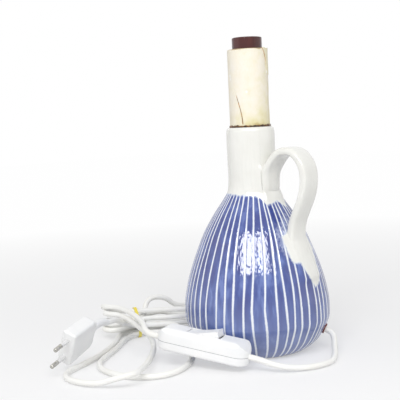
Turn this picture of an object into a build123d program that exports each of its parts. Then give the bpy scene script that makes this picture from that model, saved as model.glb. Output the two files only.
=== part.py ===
"""Jug-shaped ceramic table lamp base with its lampholder, padded neck, cord, in-line switch and plug.

Millimetres, +Z up. The origin is the centre of the ring that the jug stands on, and +X points to
the handle. The free cord lies on the surface z = 0 in front of and beside the jug.
"""
from build123d import *
from math import acos, atan2, cos, degrees, hypot, pi, radians, sin, sqrt, tan
import os

# Jug: thrown body, neck and pulled handle
SHOULDER_HEIGHT = 150.0
NECK_LENGTH = 61.0
BODY_RADIUS = 69.7
NECK_RADIUS = 22.8
SHOULDER_FLARE = 1.2
FOOT_RADIUS = 44.4
FOOT_RECESS_RADIUS = 37.0
FOOT_RECESS_DEPTH = 3.0
WALL = 5.0
FLOOR_THICKNESS = 6.0
LIP_ROUND = 3.4
HANDLE_REACH = 65.0
STRAP_WIDTH = 22.5
STRAP_THICKNESS = 8.0
SLIP_THICKNESS = 0.1
CUT_OVERRUN = 2.0
# Outside of the body, foot to shoulder: shares of BODY_RADIUS and SHOULDER_HEIGHT
BODY_OUTLINE_SHARES = (
    (0.690, 0.030), (0.828, 0.067), (0.920, 0.133), (1.000, 0.227), (0.984, 0.333),
    (0.937, 0.440), (0.865, 0.547), (0.775, 0.653), (0.673, 0.760), (0.538, 0.867),
)
FOOT_ROW_COUNT = 2
INNER_FLOOR_SHARE = 0.68
# Handle, neck root to body root: share of the way from neck to reach, share of JUG_HEIGHT,
# shares of STRAP_WIDTH and STRAP_THICKNESS
HANDLE_SHARES = (
    (-0.06, 0.715, 1.22, 1.00), (0.03, 0.784, 1.14, 1.00), (0.167, 0.851, 1.07, 1.00),
    (0.452, 0.889, 1.03, 1.00), (0.705, 0.884, 1.00, 1.00), (0.91, 0.846, 1.00, 1.00),
    (1.00, 0.777, 1.00, 1.00), (0.952, 0.711, 1.00, 1.00), (0.786, 0.635, 1.00, 1.00),
    (0.648, 0.562, 1.00, 1.05), (0.633, 0.493, 1.04, 1.12), (0.679, 0.430, 1.13, 1.00),
)
STRAP_CORNER_SHARE = 0.42

# Cord and its way out of the jug
CORD_DIAMETER = 5.4
CORE_DIAMETER = 2.0
BUSH_HEIGHT = 20.0
BUSH_AZIMUTH = 24.0
BUSH_DROP = 25.0
BUSH_RADIUS = 3.9
BUSH_FLANGE_RADIUS = 4.9
BUSH_PROUD = 1.1
BUSH_DEPTH = 9.0
CORD_CLEARANCE = 0.1

# Neck fittings: bung, threaded stem, washers and nuts
BUNG_LENGTH = 32.0
BUNG_SET_BACK = 4.0
FIT_CLEARANCE = 0.1
STEM_RADIUS = 5.0
STEM_BORE_RADIUS = 3.8
THREAD_CLEARANCE = 0.05
WASHER_RADIUS = 10.0
WASHER_THICKNESS = 1.2
NUT_ACROSS_FLATS = 14.0
NUT_THICKNESS = 4.0
STEM_TAIL = 3.0

# Sleeve: rolled card, wrapped paper, tape and a bead of old glue
SLEEVE_LENGTH = 72.0
SLEEVE_RADIUS = 18.65
PAPER_THICKNESS = 0.4
PASTE_THICKNESS = 0.05
CARD_THICKNESS = 1.0
PAPER_GAP_DEGREES = 6.0
PAPER_SEAM_AZIMUTH = 26.0
PACKING_SET_BACK = 3.0
TAPE_LENGTH = 25.0
TAPE_WIDTH = 7.0
TAPE_THICKNESS = 0.5
TAPE_PROUD = 1.0
GLUE_WIDTH = 0.9
GLUE_HEIGHT = 1.4

# Lampholder for a small screw cap
HOLDER_PROUD = 11.0
HOLDER_RADIUS = 14.0
HOLDER_WALL = 1.8
HOLDER_SHELL_LENGTH = 38.0
HOLDER_CAP_LENGTH = 17.0
HOLDER_CAP_FLOOR = 5.0
HOLDER_SPIGOT = 5.0
HOLDER_RIM = 2.0
HOLDER_MOUTH_RADIUS = 9.2
HOLDER_EDGE_ROUND = 0.8
INSERT_THICKNESS = 10.0
SOCKET_RADIUS = 7.15
SOCKET_WALL = 0.4
SOCKET_SET_BACK = 2.5
TONGUE_THICKNESS = 0.5
TONGUE_WIDTH = 3.6
TONGUE_LENGTH = 6.7
TONGUE_RISE = 16.0
TONGUE_SEAT_RADIUS = 5.2
TONGUE_FOOT = 1.6
TONGUE_FOOT_THICKNESS = 0.8
POCKET_RADIUS = 6.6
POCKET_DEPTH = 4.0
TERMINAL_OFFSET = 7.6
TERMINAL_SCREW_RADIUS = 1.5
TERMINAL_HEAD_RADIUS = 2.3
TERMINAL_HEAD_HEIGHT = 1.6
SET_SCREW_RADIUS = 1.5

# In-line switch, in its own frame: x along it from the lamp's side, y across it, z up
SWITCH_LENGTH = 88.0
SWITCH_WIDTH = 24.0
SWITCH_BASE_HEIGHT = 8.0
SWITCH_COVER_HEIGHT = 12.5
SWITCH_WALL = 1.8
SWITCH_CORNER = 11.5
SWITCH_EDGE = 5.0
SWITCH_FOOT_EDGE = 2.4
SWITCH_END_HEIGHT = 3.5
SWITCH_SLOPE_LENGTH = 14.0
SWITCH_FRAME_ORIGIN = (44.7, -70.9, 4.8)
SWITCH_FRAME_ALONG = (-0.9435, -0.2968, 0.1476)
SWITCH_FRAME_UP = (0.1408, 0.0443, 0.9891)
ROCKER_CENTRE = 43.0
ROCKER_LENGTH = 30.0
ROCKER_WIDTH = 12.4
ROCKER_GAP = 0.4
ROCKER_END_GAP = 1.4
ROCKER_TILT = 13.0
ROCKER_TOP = 6.0
ROCKER_SKIRT = 6.6
ROCKER_DISH = 0.9
PIVOT_DROP = 3.5
PIVOT_RADIUS = 1.5
PIVOT_RUNNING_FIT = 0.05
PIVOT_LUG = 2.2
PIVOT_LUG_RADIUS = 2.8
BRIDGE_LENGTH = 15.0
BRIDGE_THICKNESS = 0.6
BRIDGE_WIDTH = 5.0
CONTACT_LENGTH = 14.0
CONTACT_WIDTH = 5.0
CONTACT_HEIGHT = 4.6
CLAMP_LENGTH = 5.0
CLAMP_THICKNESS = 1.6
CLAMP_INSET = 15.0
SCREW_RADIUS = 1.4
SCREW_HEAD_RADIUS = 2.6
SCREW_HEAD_HEIGHT = 1.6
SCREW_LENGTH = 11.0
SCREW_INSET = 9.5
SCREW_OFFSET = 7.4

# Flat two-pin plug, in its own frame: x from the pin face to the back, y between the pins
PLUG_LENGTH = 36.0
PLUG_WIDTH = 35.3
PLUG_THICKNESS = 13.8
PLUG_CORNER = 6.0
PLUG_EDGE = 2.2
PLUG_BACK_SHARE = 0.86
PLUG_FRAME_ORIGIN = (-82.4, -168.6, 24.2)
PLUG_FRAME_BACK = (-0.2003, 0.9473, 0.2510)
PLUG_FRAME_PINS = (0.4855, -0.1267, 0.8650)
PIN_RADIUS = 2.0
PIN_CORE_RADIUS = 1.6
PIN_LENGTH = 19.0
PIN_SPACING = 19.0
PIN_COLLAR_LENGTH = 10.0
PIN_ROOT = 8.0
PIN_TIP_ROUND = 1.2
RELIEF_LENGTH = 28.0
RELIEF_ROOT_RADIUS = 4.9
RELIEF_TIP_RADIUS = 3.3
RELIEF_STRAIGHT_SHARE = 0.36
RELIEF_DIRECTION = (-0.2200, 0.9703, -0.1000)

# Hank: three loops, one on another, drawn in by a tie
HANK_CENTRE = (-138.2, -30.3)
HANK_HEADING = 64.0
HANK_BASE = 3.6
HANK_PITCH = 6.5
HANK_LOOP_COUNT = 3
HANK_WAIST = 3.1
HANK_RIGHT_RUN = 58.0
HANK_RIGHT_HALF = 13.5
HANK_LEFT_RUN = 23.0
HANK_LEFT_HALF = 9.0
HANK_CREST = 14.0
LOOP_RUN_SWAY_SHARE = 0.04
LOOP_HALF_SWAY_SHARE = 0.10
CREST_PLACE_SHARE = 0.46
CREST_HALF_SHARE = 0.80
CREST_FADE_SHARES = (0.3, 0.15)
CLIMB_SLOPE = 0.22
TIE_WIDTH = 3.0
TIE_THICKNESS = 0.5
TIE_CLEARANCE = 0.5
# Where the free stretches cross the tie: across the hank and up, the topmost first
TIE_CROSSINGS = ((0.2, 25.4), (-13.5, 12.8), (-11.8, 3.6))

# The cord's routes, point by point, lamp to switch, switch to hank, hank to plug
LAMP_ROUTE = (
    (70, 25, 13), (76, 16, 8.5), (85, 3, 4.2), (92, -11, 2.8), (92, -25, 2.8), (88, -37, 2.8),
    (82, -47, 3.2), (74, -57, 4.8), (65, -63.5, 7.5),
)
HANK_ROUTE = (
    (-52, -98.8, 29.2), (-57.5, -95.5, 31), (-64, -90, 32), (-77, -81, 32.3), (-93, -71.5, 32.5),
    (-112, -61.5, 32.5), (-128, -54.5, 32.5), (-141, -51.5, 32.5), (-152, -53, 32.3),
    (-161, -53, 31.5), (-167, -48.5, 29.8), (-168, -42, 27.5), (-163, -38, 24.5),
    (-156, -38.5, 22), (-149.5, -39.7, 20.2),
)
PLUG_ROUTE = (
    (-141.8, -45, 3.6), (-139.5, -52.5, 3.2), (-132.5, -61.5, 2.8), (-123, -74, 2.8), (-109, -96, 2.8),
    (-97, -121, 2.8), (-89.5, -147, 2.8), (-83, -169, 2.9), (-68.5, -182, 2.8), (-47, -183, 2.8),
    (-30, -178, 3.8), (-17, -174, 8.5), (-8, -168.5, 11.5), (-5, -161, 12), (-8, -152, 11.5),
    (-15, -141, 10.5), (-27, -125, 8), (-41, -107, 6), (-53, -92, 5), (-61, -82, 5.2), (-65.5, -77, 8.5),
    (-67, -76.5, 14), (-68.5, -79, 19), (-73, -80.5, 22.8), (-81, -78.5, 24.6), (-95, -72, 25.5),
    (-112, -64, 26), (-127, -57.5, 26), (-139, -55, 26), (-149, -57, 25.8), (-157, -55.5, 25.6),
    (-161, -50, 25.8), (-158.5, -44, 26.2), (-151, -41.5, 26.4), (-143, -37, 25.6), (-134, -24, 24.6),
    (-123, -9, 24), (-111, 3.5, 24), (-100.5, 11.5, 23.6), (-93, 17, 21), (-89, 20, 16.5),
    (-87.5, 20.5, 11.5), (-88.5, 19, 7), (-93, 12, 3.8), (-101, 1, 3.2), (-112, -13, 3.4),
    (-123, -26, 3.6), (-129, -38, 3.6), (-127, -53, 3.2), (-117, -70, 3), (-105, -89, 2.8),
    (-94, -110, 2.8), (-83, -130, 2.8), (-67, -144, 2.8), (-47, -149, 2.8), (-27, -148, 2.8),
    (-10, -139, 2.8), (-1, -122, 2.8), (-4, -100, 2.8), (-16, -76, 2.8), (-38, -55, 2.8),
    (-62, -38, 3.4), (-79, -25, 6), (-91, -15, 9.3), (-100, -8.5, 11), (-108.5, -9.5, 11.3),
    (-116, -18.5, 11.5), (-122.5, -28.5, 12), (-127, -38, 13), (-128.5, -48, 15.5),
    (-125, -59, 19.2), (-117, -72, 25.3), (-105.5, -88, 31),
)
ROUTE_LEAD = 8.0
EXIT_LEAD = 6.0
# The lead's climb inside the jug: share of the bush's inner radius, and rise above the bush
LEAD_RISE = ((0.978, 6.0), (0.628, 30.0), (0.222, 66.0))
LEAD_STRAIGHT = 30.0

# Spacing of the points on which the hank's least gap is measured
GAP_SPACING = 1.5

# Worked out from the sizes above
JUG_HEIGHT = SHOULDER_HEIGHT + NECK_LENGTH
BORE_RADIUS = NECK_RADIUS - WALL
INNER_FLOOR = FOOT_RECESS_DEPTH + FLOOR_THICKNESS
BUNG_TOP = JUG_HEIGHT - BUNG_SET_BACK
BUNG_BOTTOM = BUNG_TOP - BUNG_LENGTH
SLEEVE_TOP = JUG_HEIGHT + SLEEVE_LENGTH
CARD_RADIUS = SLEEVE_RADIUS - PAPER_THICKNESS
PACKING_RADIUS = CARD_RADIUS - CARD_THICKNESS
HOLDER_TOP = SLEEVE_TOP + HOLDER_PROUD
SHELL_BOTTOM = HOLDER_TOP - HOLDER_SHELL_LENGTH
CAP_BOTTOM = SHELL_BOTTOM - HOLDER_CAP_LENGTH
INSERT_BOTTOM = SHELL_BOTTOM + HOLDER_SPIGOT
INSERT_TOP = INSERT_BOTTOM + INSERT_THICKNESS
POCKET_FLOOR = INSERT_TOP - POCKET_DEPTH
STEM_BOTTOM = BUNG_BOTTOM - WASHER_THICKNESS - NUT_THICKNESS - STEM_TAIL
STEM_TOP = CAP_BOTTOM + HOLDER_CAP_FLOOR
STEM_GRIP_RADIUS = STEM_RADIUS + THREAD_CLEARANCE
CORD_RADIUS = CORD_DIAMETER / 2
SWITCH_HEIGHT = SWITCH_BASE_HEIGHT + SWITCH_COVER_HEIGHT
PIVOT_HEIGHT = SWITCH_HEIGHT - PIVOT_DROP
FULL_TURN = 360.0
HALF_TURN = 180.0
FILLET_RUN_SHARE = 0.45

switch_plane = Plane(SWITCH_FRAME_ORIGIN, x_dir=SWITCH_FRAME_ALONG, z_dir=SWITCH_FRAME_UP)
plug_up = Vector(*PLUG_FRAME_BACK).cross(Vector(*PLUG_FRAME_PINS))
plug_plane = Plane(PLUG_FRAME_ORIGIN, x_dir=PLUG_FRAME_BACK, z_dir=plug_up)
nodes = {}


def ring(outer, inner, bottom, top):
    """Upright tube about the Z axis."""
    height = top - bottom
    solid = Pos(0, 0, bottom) * Cylinder(outer, height, align=(Align.CENTER, Align.CENTER, Align.MIN))
    if inner:
        solid -= Pos(0, 0, bottom - CUT_OVERRUN) * Cylinder(
            inner, height + 2 * CUT_OVERRUN, align=(Align.CENTER, Align.CENTER, Align.MIN))
    return solid


def block(low, high):
    """Box between two corners."""
    size = [h - l for l, h in zip(low, high)]
    return Pos(*low) * Box(*size, align=(Align.MIN, Align.MIN, Align.MIN))


def rod(start, end, radius):
    """Round bar between two points."""
    start, end = Vector(*start), Vector(*end)
    plane = Plane(start, z_dir=end - start)
    return plane * Cylinder(radius, (end - start).length, align=(Align.CENTER, Align.CENTER, Align.MIN))


def polar(radius, azimuth, height):
    """Point at a radius and an azimuth in degrees from +X."""
    return (radius * cos(radians(azimuth)), radius * sin(radians(azimuth)), height)


def corner_radii(points):
    """One radius for each corner of a route: as large as its two runs allow."""
    radii = []
    for before, corner, after in zip(points, points[1:], points[2:]):
        into, out = Vector(*corner) - Vector(*before), Vector(*after) - Vector(*corner)
        turn = radians(into.get_angle(out))
        radii.append(FILLET_RUN_SHARE * min(into.length, out.length) / tan(turn / 2))
    return radii


def tube(name, points, radius=CORD_RADIUS):
    """Round cord along straight runs joined by tangent arcs."""
    radii = corner_radii(points)
    path = FilletPolyline(*points, radius=radii)
    start = Plane(points[0], z_dir=Vector(*points[1]) - Vector(*points[0]))
    solid = sweep(start * Circle(radius), path=path)
    print(f"{name}: {path.length:.0f} mm long, radii {min(radii):.1f} to {max(radii):.0f} mm,",
          f"volume {solid.volume / (pi * radius ** 2 * path.length):.4f} of section times length")
    return solid


def wall_outline(inset=0.0, first_row=0):
    """Points of the body's outside, or of its inside when inset."""
    rows = BODY_OUTLINE_SHARES[first_row:]
    return [(r * BODY_RADIUS - inset, z * SHOULDER_HEIGHT) for r, z in rows]


def jug_outside(grow=0.0):
    """Whole jug without its handle or its hollow, grown all round where asked."""
    shoulder = (NECK_RADIUS + SHOULDER_FLARE + grow, SHOULDER_HEIGHT)
    foot, neck = FOOT_RADIUS + grow, NECK_RADIUS + grow
    profile = Line((0, 0), (foot, 0))
    profile += Spline((foot, 0), *wall_outline(-grow), shoulder)
    profile += Line(shoulder, (neck, JUG_HEIGHT))
    profile += Polyline((neck, JUG_HEIGHT), (0, JUG_HEIGHT), (0, 0))
    solid = revolve(Plane.XZ * make_face(profile), Axis.Z)
    return fillet(solid.edges().group_by(Axis.Z)[-1], LIP_ROUND)


def jug_inside():
    """Hollow of the jug, up through the neck."""
    floor_corner = (INNER_FLOOR_SHARE * BODY_RADIUS, INNER_FLOOR)
    shoulder = (BORE_RADIUS, SHOULDER_HEIGHT)
    top = JUG_HEIGHT + CUT_OVERRUN
    profile = Line((0, INNER_FLOOR), floor_corner)
    profile += Spline(floor_corner, *wall_outline(WALL, FOOT_ROW_COUNT), shoulder)
    profile += Polyline(shoulder, (BORE_RADIUS, top), (0, top), (0, INNER_FLOOR))
    return revolve(Plane.XZ * make_face(profile), Axis.Z)


def bush_frame():
    """Where the cord's hole meets the outside: the point and the direction out of the jug."""
    out = Vector(*polar(cos(radians(BUSH_DROP)), BUSH_AZIMUTH, -sin(radians(BUSH_DROP))))
    heights = [z * SHOULDER_HEIGHT for _, z in BODY_OUTLINE_SHARES]
    row = max(i for i, z in enumerate(heights[:-1]) if z <= BUSH_HEIGHT)
    (r0, _), (r1, _) = BODY_OUTLINE_SHARES[row], BODY_OUTLINE_SHARES[row + 1]
    share = (BUSH_HEIGHT - heights[row]) / (heights[row + 1] - heights[row])
    radius = BODY_RADIUS * (r0 + share * (r1 - r0))
    return Vector(*polar(radius, BUSH_AZIMUTH, BUSH_HEIGHT)), out


bush_seat, bush_out = bush_frame()
bush_end = bush_seat + bush_out * BUSH_PROUD
bush_start = bush_seat - bush_out * BUSH_DEPTH


def make_jug():
    outside = jug_outside()
    recess = ring(FOOT_RECESS_RADIUS, 0, -CUT_OVERRUN, FOOT_RECESS_DEPTH)
    hole = rod(bush_start - bush_out * CUT_OVERRUN, bush_end, BUSH_RADIUS)
    nodes["jug_body"] = outside - jug_inside() - recess - hole
    nodes["jug_handle"] = handle_strap() - jug_outside(SLIP_THICKNESS)
    nodes["cord_bush"] = make_bush(outside)


def handle_strap():
    """Pulled strap: a loft through rounded sections that follow the handle's line."""
    span = HANDLE_REACH - NECK_RADIUS
    line = [(NECK_RADIUS + x * span, z * JUG_HEIGHT) for x, z, _, _ in HANDLE_SHARES]
    sections = []
    for i, (_, _, wide, thick) in enumerate(HANDLE_SHARES):
        before, after = line[max(i - 1, 0)], line[min(i + 1, len(line) - 1)]
        heading = Vector(after[0] - before[0], 0, after[1] - before[1])
        plane = Plane((line[i][0], 0, line[i][1]), x_dir=(0, 1, 0), z_dir=heading)
        width, depth = wide * STRAP_WIDTH, thick * STRAP_THICKNESS
        sections.append(plane * RectangleRounded(width, depth, STRAP_CORNER_SHARE * depth))
    return loft(sections)


def make_bush(outside):
    """Grommet through the wall with a collar seated on the outside."""
    barrel = rod(bush_start, bush_end, BUSH_RADIUS - FIT_CLEARANCE)
    collar = rod(bush_seat - bush_out * BUSH_PROUD, bush_end, BUSH_FLANGE_RADIUS) - outside
    bore = rod(bush_start - bush_out * CUT_OVERRUN, bush_end + bush_out * CUT_OVERRUN,
               CORD_RADIUS + CORD_CLEARANCE)
    return barrel + collar - bore


def hexagon(across_flats, bore, bottom, top):
    """Nut about the Z axis."""
    face = RegularPolygon(across_flats / 2, 6, major_radius=False)
    return Pos(0, 0, bottom) * extrude(face, top - bottom) - ring(
        bore, 0, bottom - CUT_OVERRUN, top + CUT_OVERRUN)


def make_neck_fittings():
    nodes["neck_bung"] = ring(BORE_RADIUS - FIT_CLEARANCE, STEM_GRIP_RADIUS, BUNG_BOTTOM, BUNG_TOP)
    nodes["threaded_stem"] = ring(STEM_RADIUS, STEM_BORE_RADIUS, STEM_BOTTOM, STEM_TOP)
    washer_low = BUNG_BOTTOM - WASHER_THICKNESS
    washer_high = BUNG_TOP + WASHER_THICKNESS
    lower = ring(WASHER_RADIUS, STEM_GRIP_RADIUS, washer_low, BUNG_BOTTOM)
    upper = ring(WASHER_RADIUS, STEM_GRIP_RADIUS, BUNG_TOP, washer_high)
    nodes["stem_washers"] = Compound([lower.solid(), upper.solid()])
    low_nut = hexagon(NUT_ACROSS_FLATS, STEM_GRIP_RADIUS, washer_low - NUT_THICKNESS, washer_low)
    top_nut = hexagon(NUT_ACROSS_FLATS, STEM_GRIP_RADIUS, washer_high, washer_high + NUT_THICKNESS)
    nodes["stem_nuts"] = Compound([low_nut.solid(), top_nut.solid()])


def arc_shell(outer, inner, start, end, bottom, top):
    """Part of an upright tube between two azimuths, counted anticlockwise."""
    sweep_angle = (end - start) % FULL_TURN
    low = Line((inner, bottom), (outer, bottom))
    profile = low + Polyline((outer, bottom), (outer, top), (inner, top), (inner, bottom))
    solid = revolve(Plane.XZ * make_face(profile), Axis.Z, revolution_arc=sweep_angle)
    return Rot(0, 0, start) * solid


def make_sleeve():
    nodes["card_packing"] = ring(
        PACKING_RADIUS - FIT_CLEARANCE, HOLDER_RADIUS + FIT_CLEARANCE, BUNG_TOP,
        SLEEVE_TOP - PACKING_SET_BACK)
    nodes["card_sleeve"] = ring(CARD_RADIUS, PACKING_RADIUS, JUG_HEIGHT, SLEEVE_TOP)
    gap = PAPER_GAP_DEGREES / 2
    nodes["paper_wrap"] = arc_shell(
        SLEEVE_RADIUS, CARD_RADIUS + PASTE_THICKNESS, PAPER_SEAM_AZIMUTH + gap, PAPER_SEAM_AZIMUTH - gap,
        JUG_HEIGHT, SLEEVE_TOP)
    half_tape = degrees(TAPE_WIDTH / 2 / SLEEVE_RADIUS)
    nodes["seam_tape"] = arc_shell(
        SLEEVE_RADIUS + TAPE_THICKNESS, SLEEVE_RADIUS + PASTE_THICKNESS, PAPER_SEAM_AZIMUTH - half_tape,
        PAPER_SEAM_AZIMUTH + half_tape, SLEEVE_TOP + TAPE_PROUD - TAPE_LENGTH,
        SLEEVE_TOP + TAPE_PROUD)
    nodes["glue_bead"] = ring(
        SLEEVE_RADIUS + GLUE_WIDTH, SLEEVE_RADIUS + PASTE_THICKNESS, JUG_HEIGHT,
        JUG_HEIGHT + GLUE_HEIGHT)


def make_holder():
    inner = HOLDER_RADIUS - HOLDER_WALL
    shell = ring(HOLDER_RADIUS, inner, SHELL_BOTTOM, HOLDER_TOP)
    shell += ring(inner, HOLDER_MOUTH_RADIUS, HOLDER_TOP - HOLDER_RIM, HOLDER_TOP)
    top_edges = shell.edges().filter_by(GeomType.CIRCLE).filter_by(
        lambda e: e.radius > inner).group_by(Axis.Z)[-1]
    nodes["holder_shell"] = fillet(top_edges, HOLDER_EDGE_ROUND)
    spigot = inner - FIT_CLEARANCE
    cap = ring(HOLDER_RADIUS, spigot - HOLDER_WALL, CAP_BOTTOM, SHELL_BOTTOM)
    cap += ring(spigot, spigot - HOLDER_WALL, SHELL_BOTTOM, INSERT_BOTTOM)
    cap += ring(spigot, STEM_GRIP_RADIUS, CAP_BOTTOM, CAP_BOTTOM + HOLDER_CAP_FLOOR)
    screw_height = CAP_BOTTOM + HOLDER_CAP_FLOOR / 2
    screw = rod((0, 0, screw_height), (HOLDER_RADIUS + CUT_OVERRUN, 0, screw_height), SET_SCREW_RADIUS)
    nodes["holder_cap"] = cap - screw
    nodes["holder_set_screw"] = rod(
        (STEM_GRIP_RADIUS, 0, screw_height), (HOLDER_RADIUS - HOLDER_EDGE_ROUND, 0, screw_height),
        SET_SCREW_RADIUS - THREAD_CLEARANCE)
    screws, holes = terminal_screws()
    pocket = ring(POCKET_RADIUS, 0, POCKET_FLOOR, INSERT_TOP + CUT_OVERRUN)
    nodes["holder_insert"] = ring(spigot, 0, INSERT_BOTTOM, INSERT_TOP) - holes - pocket
    nodes["holder_terminal_screws"] = screws
    nodes["socket_shell"] = ring(
        SOCKET_RADIUS + SOCKET_WALL, SOCKET_RADIUS, INSERT_TOP, HOLDER_TOP - SOCKET_SET_BACK)
    make_centre_contact()


def terminal_screws():
    """Two screws up into the insert, and the holes that they fill."""
    screws, holes = [], None
    for side in (-TERMINAL_OFFSET, TERMINAL_OFFSET):
        top = INSERT_TOP - INSERT_THICKNESS / 2
        hole = Pos(side, 0, 0) * ring(TERMINAL_SCREW_RADIUS, 0, INSERT_BOTTOM - CUT_OVERRUN, top)
        shank = Pos(side, 0, 0) * ring(
            TERMINAL_SCREW_RADIUS - THREAD_CLEARANCE, 0, INSERT_BOTTOM, top)
        head = Pos(side, 0, 0) * ring(
            TERMINAL_HEAD_RADIUS, 0, INSERT_BOTTOM - TERMINAL_HEAD_HEIGHT, INSERT_BOTTOM)
        screws.append((shank + head).solid())
        holes = hole if holes is None else holes + hole
    return Compound(screws), holes


def make_centre_contact():
    """Sprung tongue under the lamp's tip: a foot fixed on the insert and a leaf that bends."""
    half = TONGUE_WIDTH / 2
    foot_top = POCKET_FLOOR + TONGUE_FOOT
    nodes["tongue_foot"] = block(
        (-TONGUE_SEAT_RADIUS - TONGUE_FOOT_THICKNESS, -half, POCKET_FLOOR),
        (-TONGUE_SEAT_RADIUS, half, foot_top))
    leaf = block((0, -half, -TONGUE_THICKNESS), (TONGUE_LENGTH, half, 0))
    place = Pos(-TONGUE_SEAT_RADIUS + FIT_CLEARANCE, 0, foot_top)
    nodes["contact_tongue"] = place * Rot(0, -TONGUE_RISE, 0) * leaf


def make_inner_lead():
    """The lead inside the jug, from the bush up the stem, and its two cores in the holder."""
    inner = bush_start - bush_out * CUT_OVERRUN
    reach = hypot(inner.X, inner.Y)
    rise = [polar(r * reach, BUSH_AZIMUTH, BUSH_HEIGHT + z) for r, z in LEAD_RISE]
    top = STEM_TOP - CUT_OVERRUN
    points = [tuple(bush_end), tuple(inner), *rise, (0, 0, STEM_BOTTOM - LEAD_STRAIGHT), (0, 0, top)]
    nodes["inner_lead"] = tube("inner_lead", points)
    end = INSERT_BOTTOM - TERMINAL_HEAD_HEIGHT
    cores = {"live_core": -1, "neutral_core": 1}
    for name, side in cores.items():
        start = side * (CORE_DIAMETER / 2 + CORD_CLEARANCE)
        reach = side * TERMINAL_OFFSET
        middle = (top + end) / 2
        route = [(start, 0, top), (start, 0, (top + middle) / 2), (reach, 0, (middle + end) / 2),
                 (reach, 0, end)]
        nodes[name] = tube(name, route, CORE_DIAMETER / 2)


def switch_block(low, high):
    return switch_plane * block(low, high)


def cover_form(inset=0.0):
    """Form of the cover: its plan, its side view and its end view cut from one block."""
    length, width = SWITCH_LENGTH - 2 * inset, SWITCH_WIDTH - 2 * inset
    top = SWITCH_HEIGHT - inset
    low = SWITCH_BASE_HEIGHT
    plan = Pos(SWITCH_LENGTH / 2, 0, low) * extrude(
        RectangleRounded(length, width, SWITCH_CORNER - inset), top - low)
    shoulder = SWITCH_BASE_HEIGHT + SWITCH_END_HEIGHT - inset
    slope = SWITCH_SLOPE_LENGTH
    left, right = inset, SWITCH_LENGTH - inset
    side_line = Polyline((left, low), (left, shoulder))
    side_line += Spline((left, shoulder), (left + slope, top), tangents=((0.35, 1), (1, 0)))
    side_line += Line((left + slope, top), (right - slope, top))
    side_line += Spline((right - slope, top), (right, shoulder), tangents=((1, 0), (0.35, -1)))
    side_line += Polyline((right, shoulder), (right, low), (left, low))
    side = extrude(Plane.XZ * make_face(side_line), width, both=True)
    half = width / 2
    edge = SWITCH_EDGE - inset
    end_line = Polyline((-half, low), (-half, top - edge))
    end_line += RadiusArc((-half, top - edge), (edge - half, top), edge)
    end_line += Line((edge - half, top), (half - edge, top))
    end_line += RadiusArc((half - edge, top), (half, top - edge), edge)
    end_line += Polyline((half, top - edge), (half, low), (-half, low))
    end = extrude(Plane.YZ * make_face(end_line), SWITCH_LENGTH)
    return plan & side & end


def cord_passage():
    """Round way for the cord through both ends of the switch, on the parting plane."""
    return rod((-CUT_OVERRUN, 0, SWITCH_BASE_HEIGHT),
               (SWITCH_LENGTH + CUT_OVERRUN, 0, SWITCH_BASE_HEIGHT), CORD_RADIUS + CORD_CLEARANCE)


def screw_places():
    return [(SCREW_INSET, SCREW_OFFSET), (SWITCH_LENGTH - SCREW_INSET, -SCREW_OFFSET)]


def make_switch_shells():
    outline = RectangleRounded(SWITCH_LENGTH, SWITCH_WIDTH, SWITCH_CORNER)
    base = Pos(SWITCH_LENGTH / 2, 0, 0) * extrude(outline, SWITCH_BASE_HEIGHT)
    base = fillet(base.edges().group_by(Axis.Z)[0], SWITCH_FOOT_EDGE)
    inner = RectangleRounded(
        SWITCH_LENGTH - 2 * SWITCH_WALL, SWITCH_WIDTH - 2 * SWITCH_WALL, SWITCH_CORNER - SWITCH_WALL)
    base -= Pos(SWITCH_LENGTH / 2, 0, SWITCH_WALL) * extrude(inner, SWITCH_BASE_HEIGHT)
    posts = [Pos(x, y, 0) * ring(SCREW_HEAD_RADIUS + SWITCH_WALL / 2, 0, SWITCH_WALL / 2,
                                 SWITCH_BASE_HEIGHT) for x, y in screw_places()]
    holes = [Pos(x, y, 0) * ring(SCREW_RADIUS + CORD_CLEARANCE, 0, -CUT_OVERRUN, SWITCH_HEIGHT)
             for x, y in screw_places()]
    sinks = [Pos(x, y, 0) * ring(SCREW_HEAD_RADIUS + CORD_CLEARANCE, 0, -CUT_OVERRUN,
                                 SCREW_HEAD_HEIGHT + CORD_CLEARANCE) for x, y in screw_places()]
    for post, hole, sink in zip(posts, holes, sinks):
        base = base + post - hole - sink
    nodes["switch_base"] = switch_plane * (base - cord_passage())
    nodes["switch_cover"] = switch_plane * make_cover(holes)


def make_cover(holes):
    cover = cover_form() - cover_form(SWITCH_WALL)
    half_x = ROCKER_LENGTH / 2 + ROCKER_END_GAP
    half_y = ROCKER_WIDTH / 2 + ROCKER_GAP
    cover -= block((ROCKER_CENTRE - half_x, -half_y, PIVOT_HEIGHT - PIVOT_DROP),
                   (ROCKER_CENTRE + half_x, half_y, SWITCH_HEIGHT + CUT_OVERRUN))
    for side in (-1, 1):
        near = side * half_y
        lug = block((ROCKER_CENTRE - PIVOT_LUG_RADIUS, min(near, near + side * PIVOT_LUG),
                     PIVOT_HEIGHT - PIVOT_LUG_RADIUS),
                    (ROCKER_CENTRE + PIVOT_LUG_RADIUS, max(near, near + side * PIVOT_LUG),
                     SWITCH_HEIGHT - SWITCH_WALL / 2))
        cover += lug
    reach = half_y + PIVOT_LUG
    cover -= rod((ROCKER_CENTRE, -reach, PIVOT_HEIGHT), (ROCKER_CENTRE, reach, PIVOT_HEIGHT), PIVOT_RADIUS)
    for (x, y), hole in zip(screw_places(), holes):
        boss = Pos(x, y, 0) * ring(SCREW_HEAD_RADIUS, 0, SWITCH_BASE_HEIGHT, SWITCH_HEIGHT)
        cover += (boss & cover_form()) - hole
    return cover - cord_passage()


def rocker_place():
    """The rocker's own frame: its pivot axis is y, and its lamp-side end is up at rest."""
    return Pos(ROCKER_CENTRE, 0, PIVOT_HEIGHT) * Rot(0, ROCKER_TILT, 0)


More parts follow.
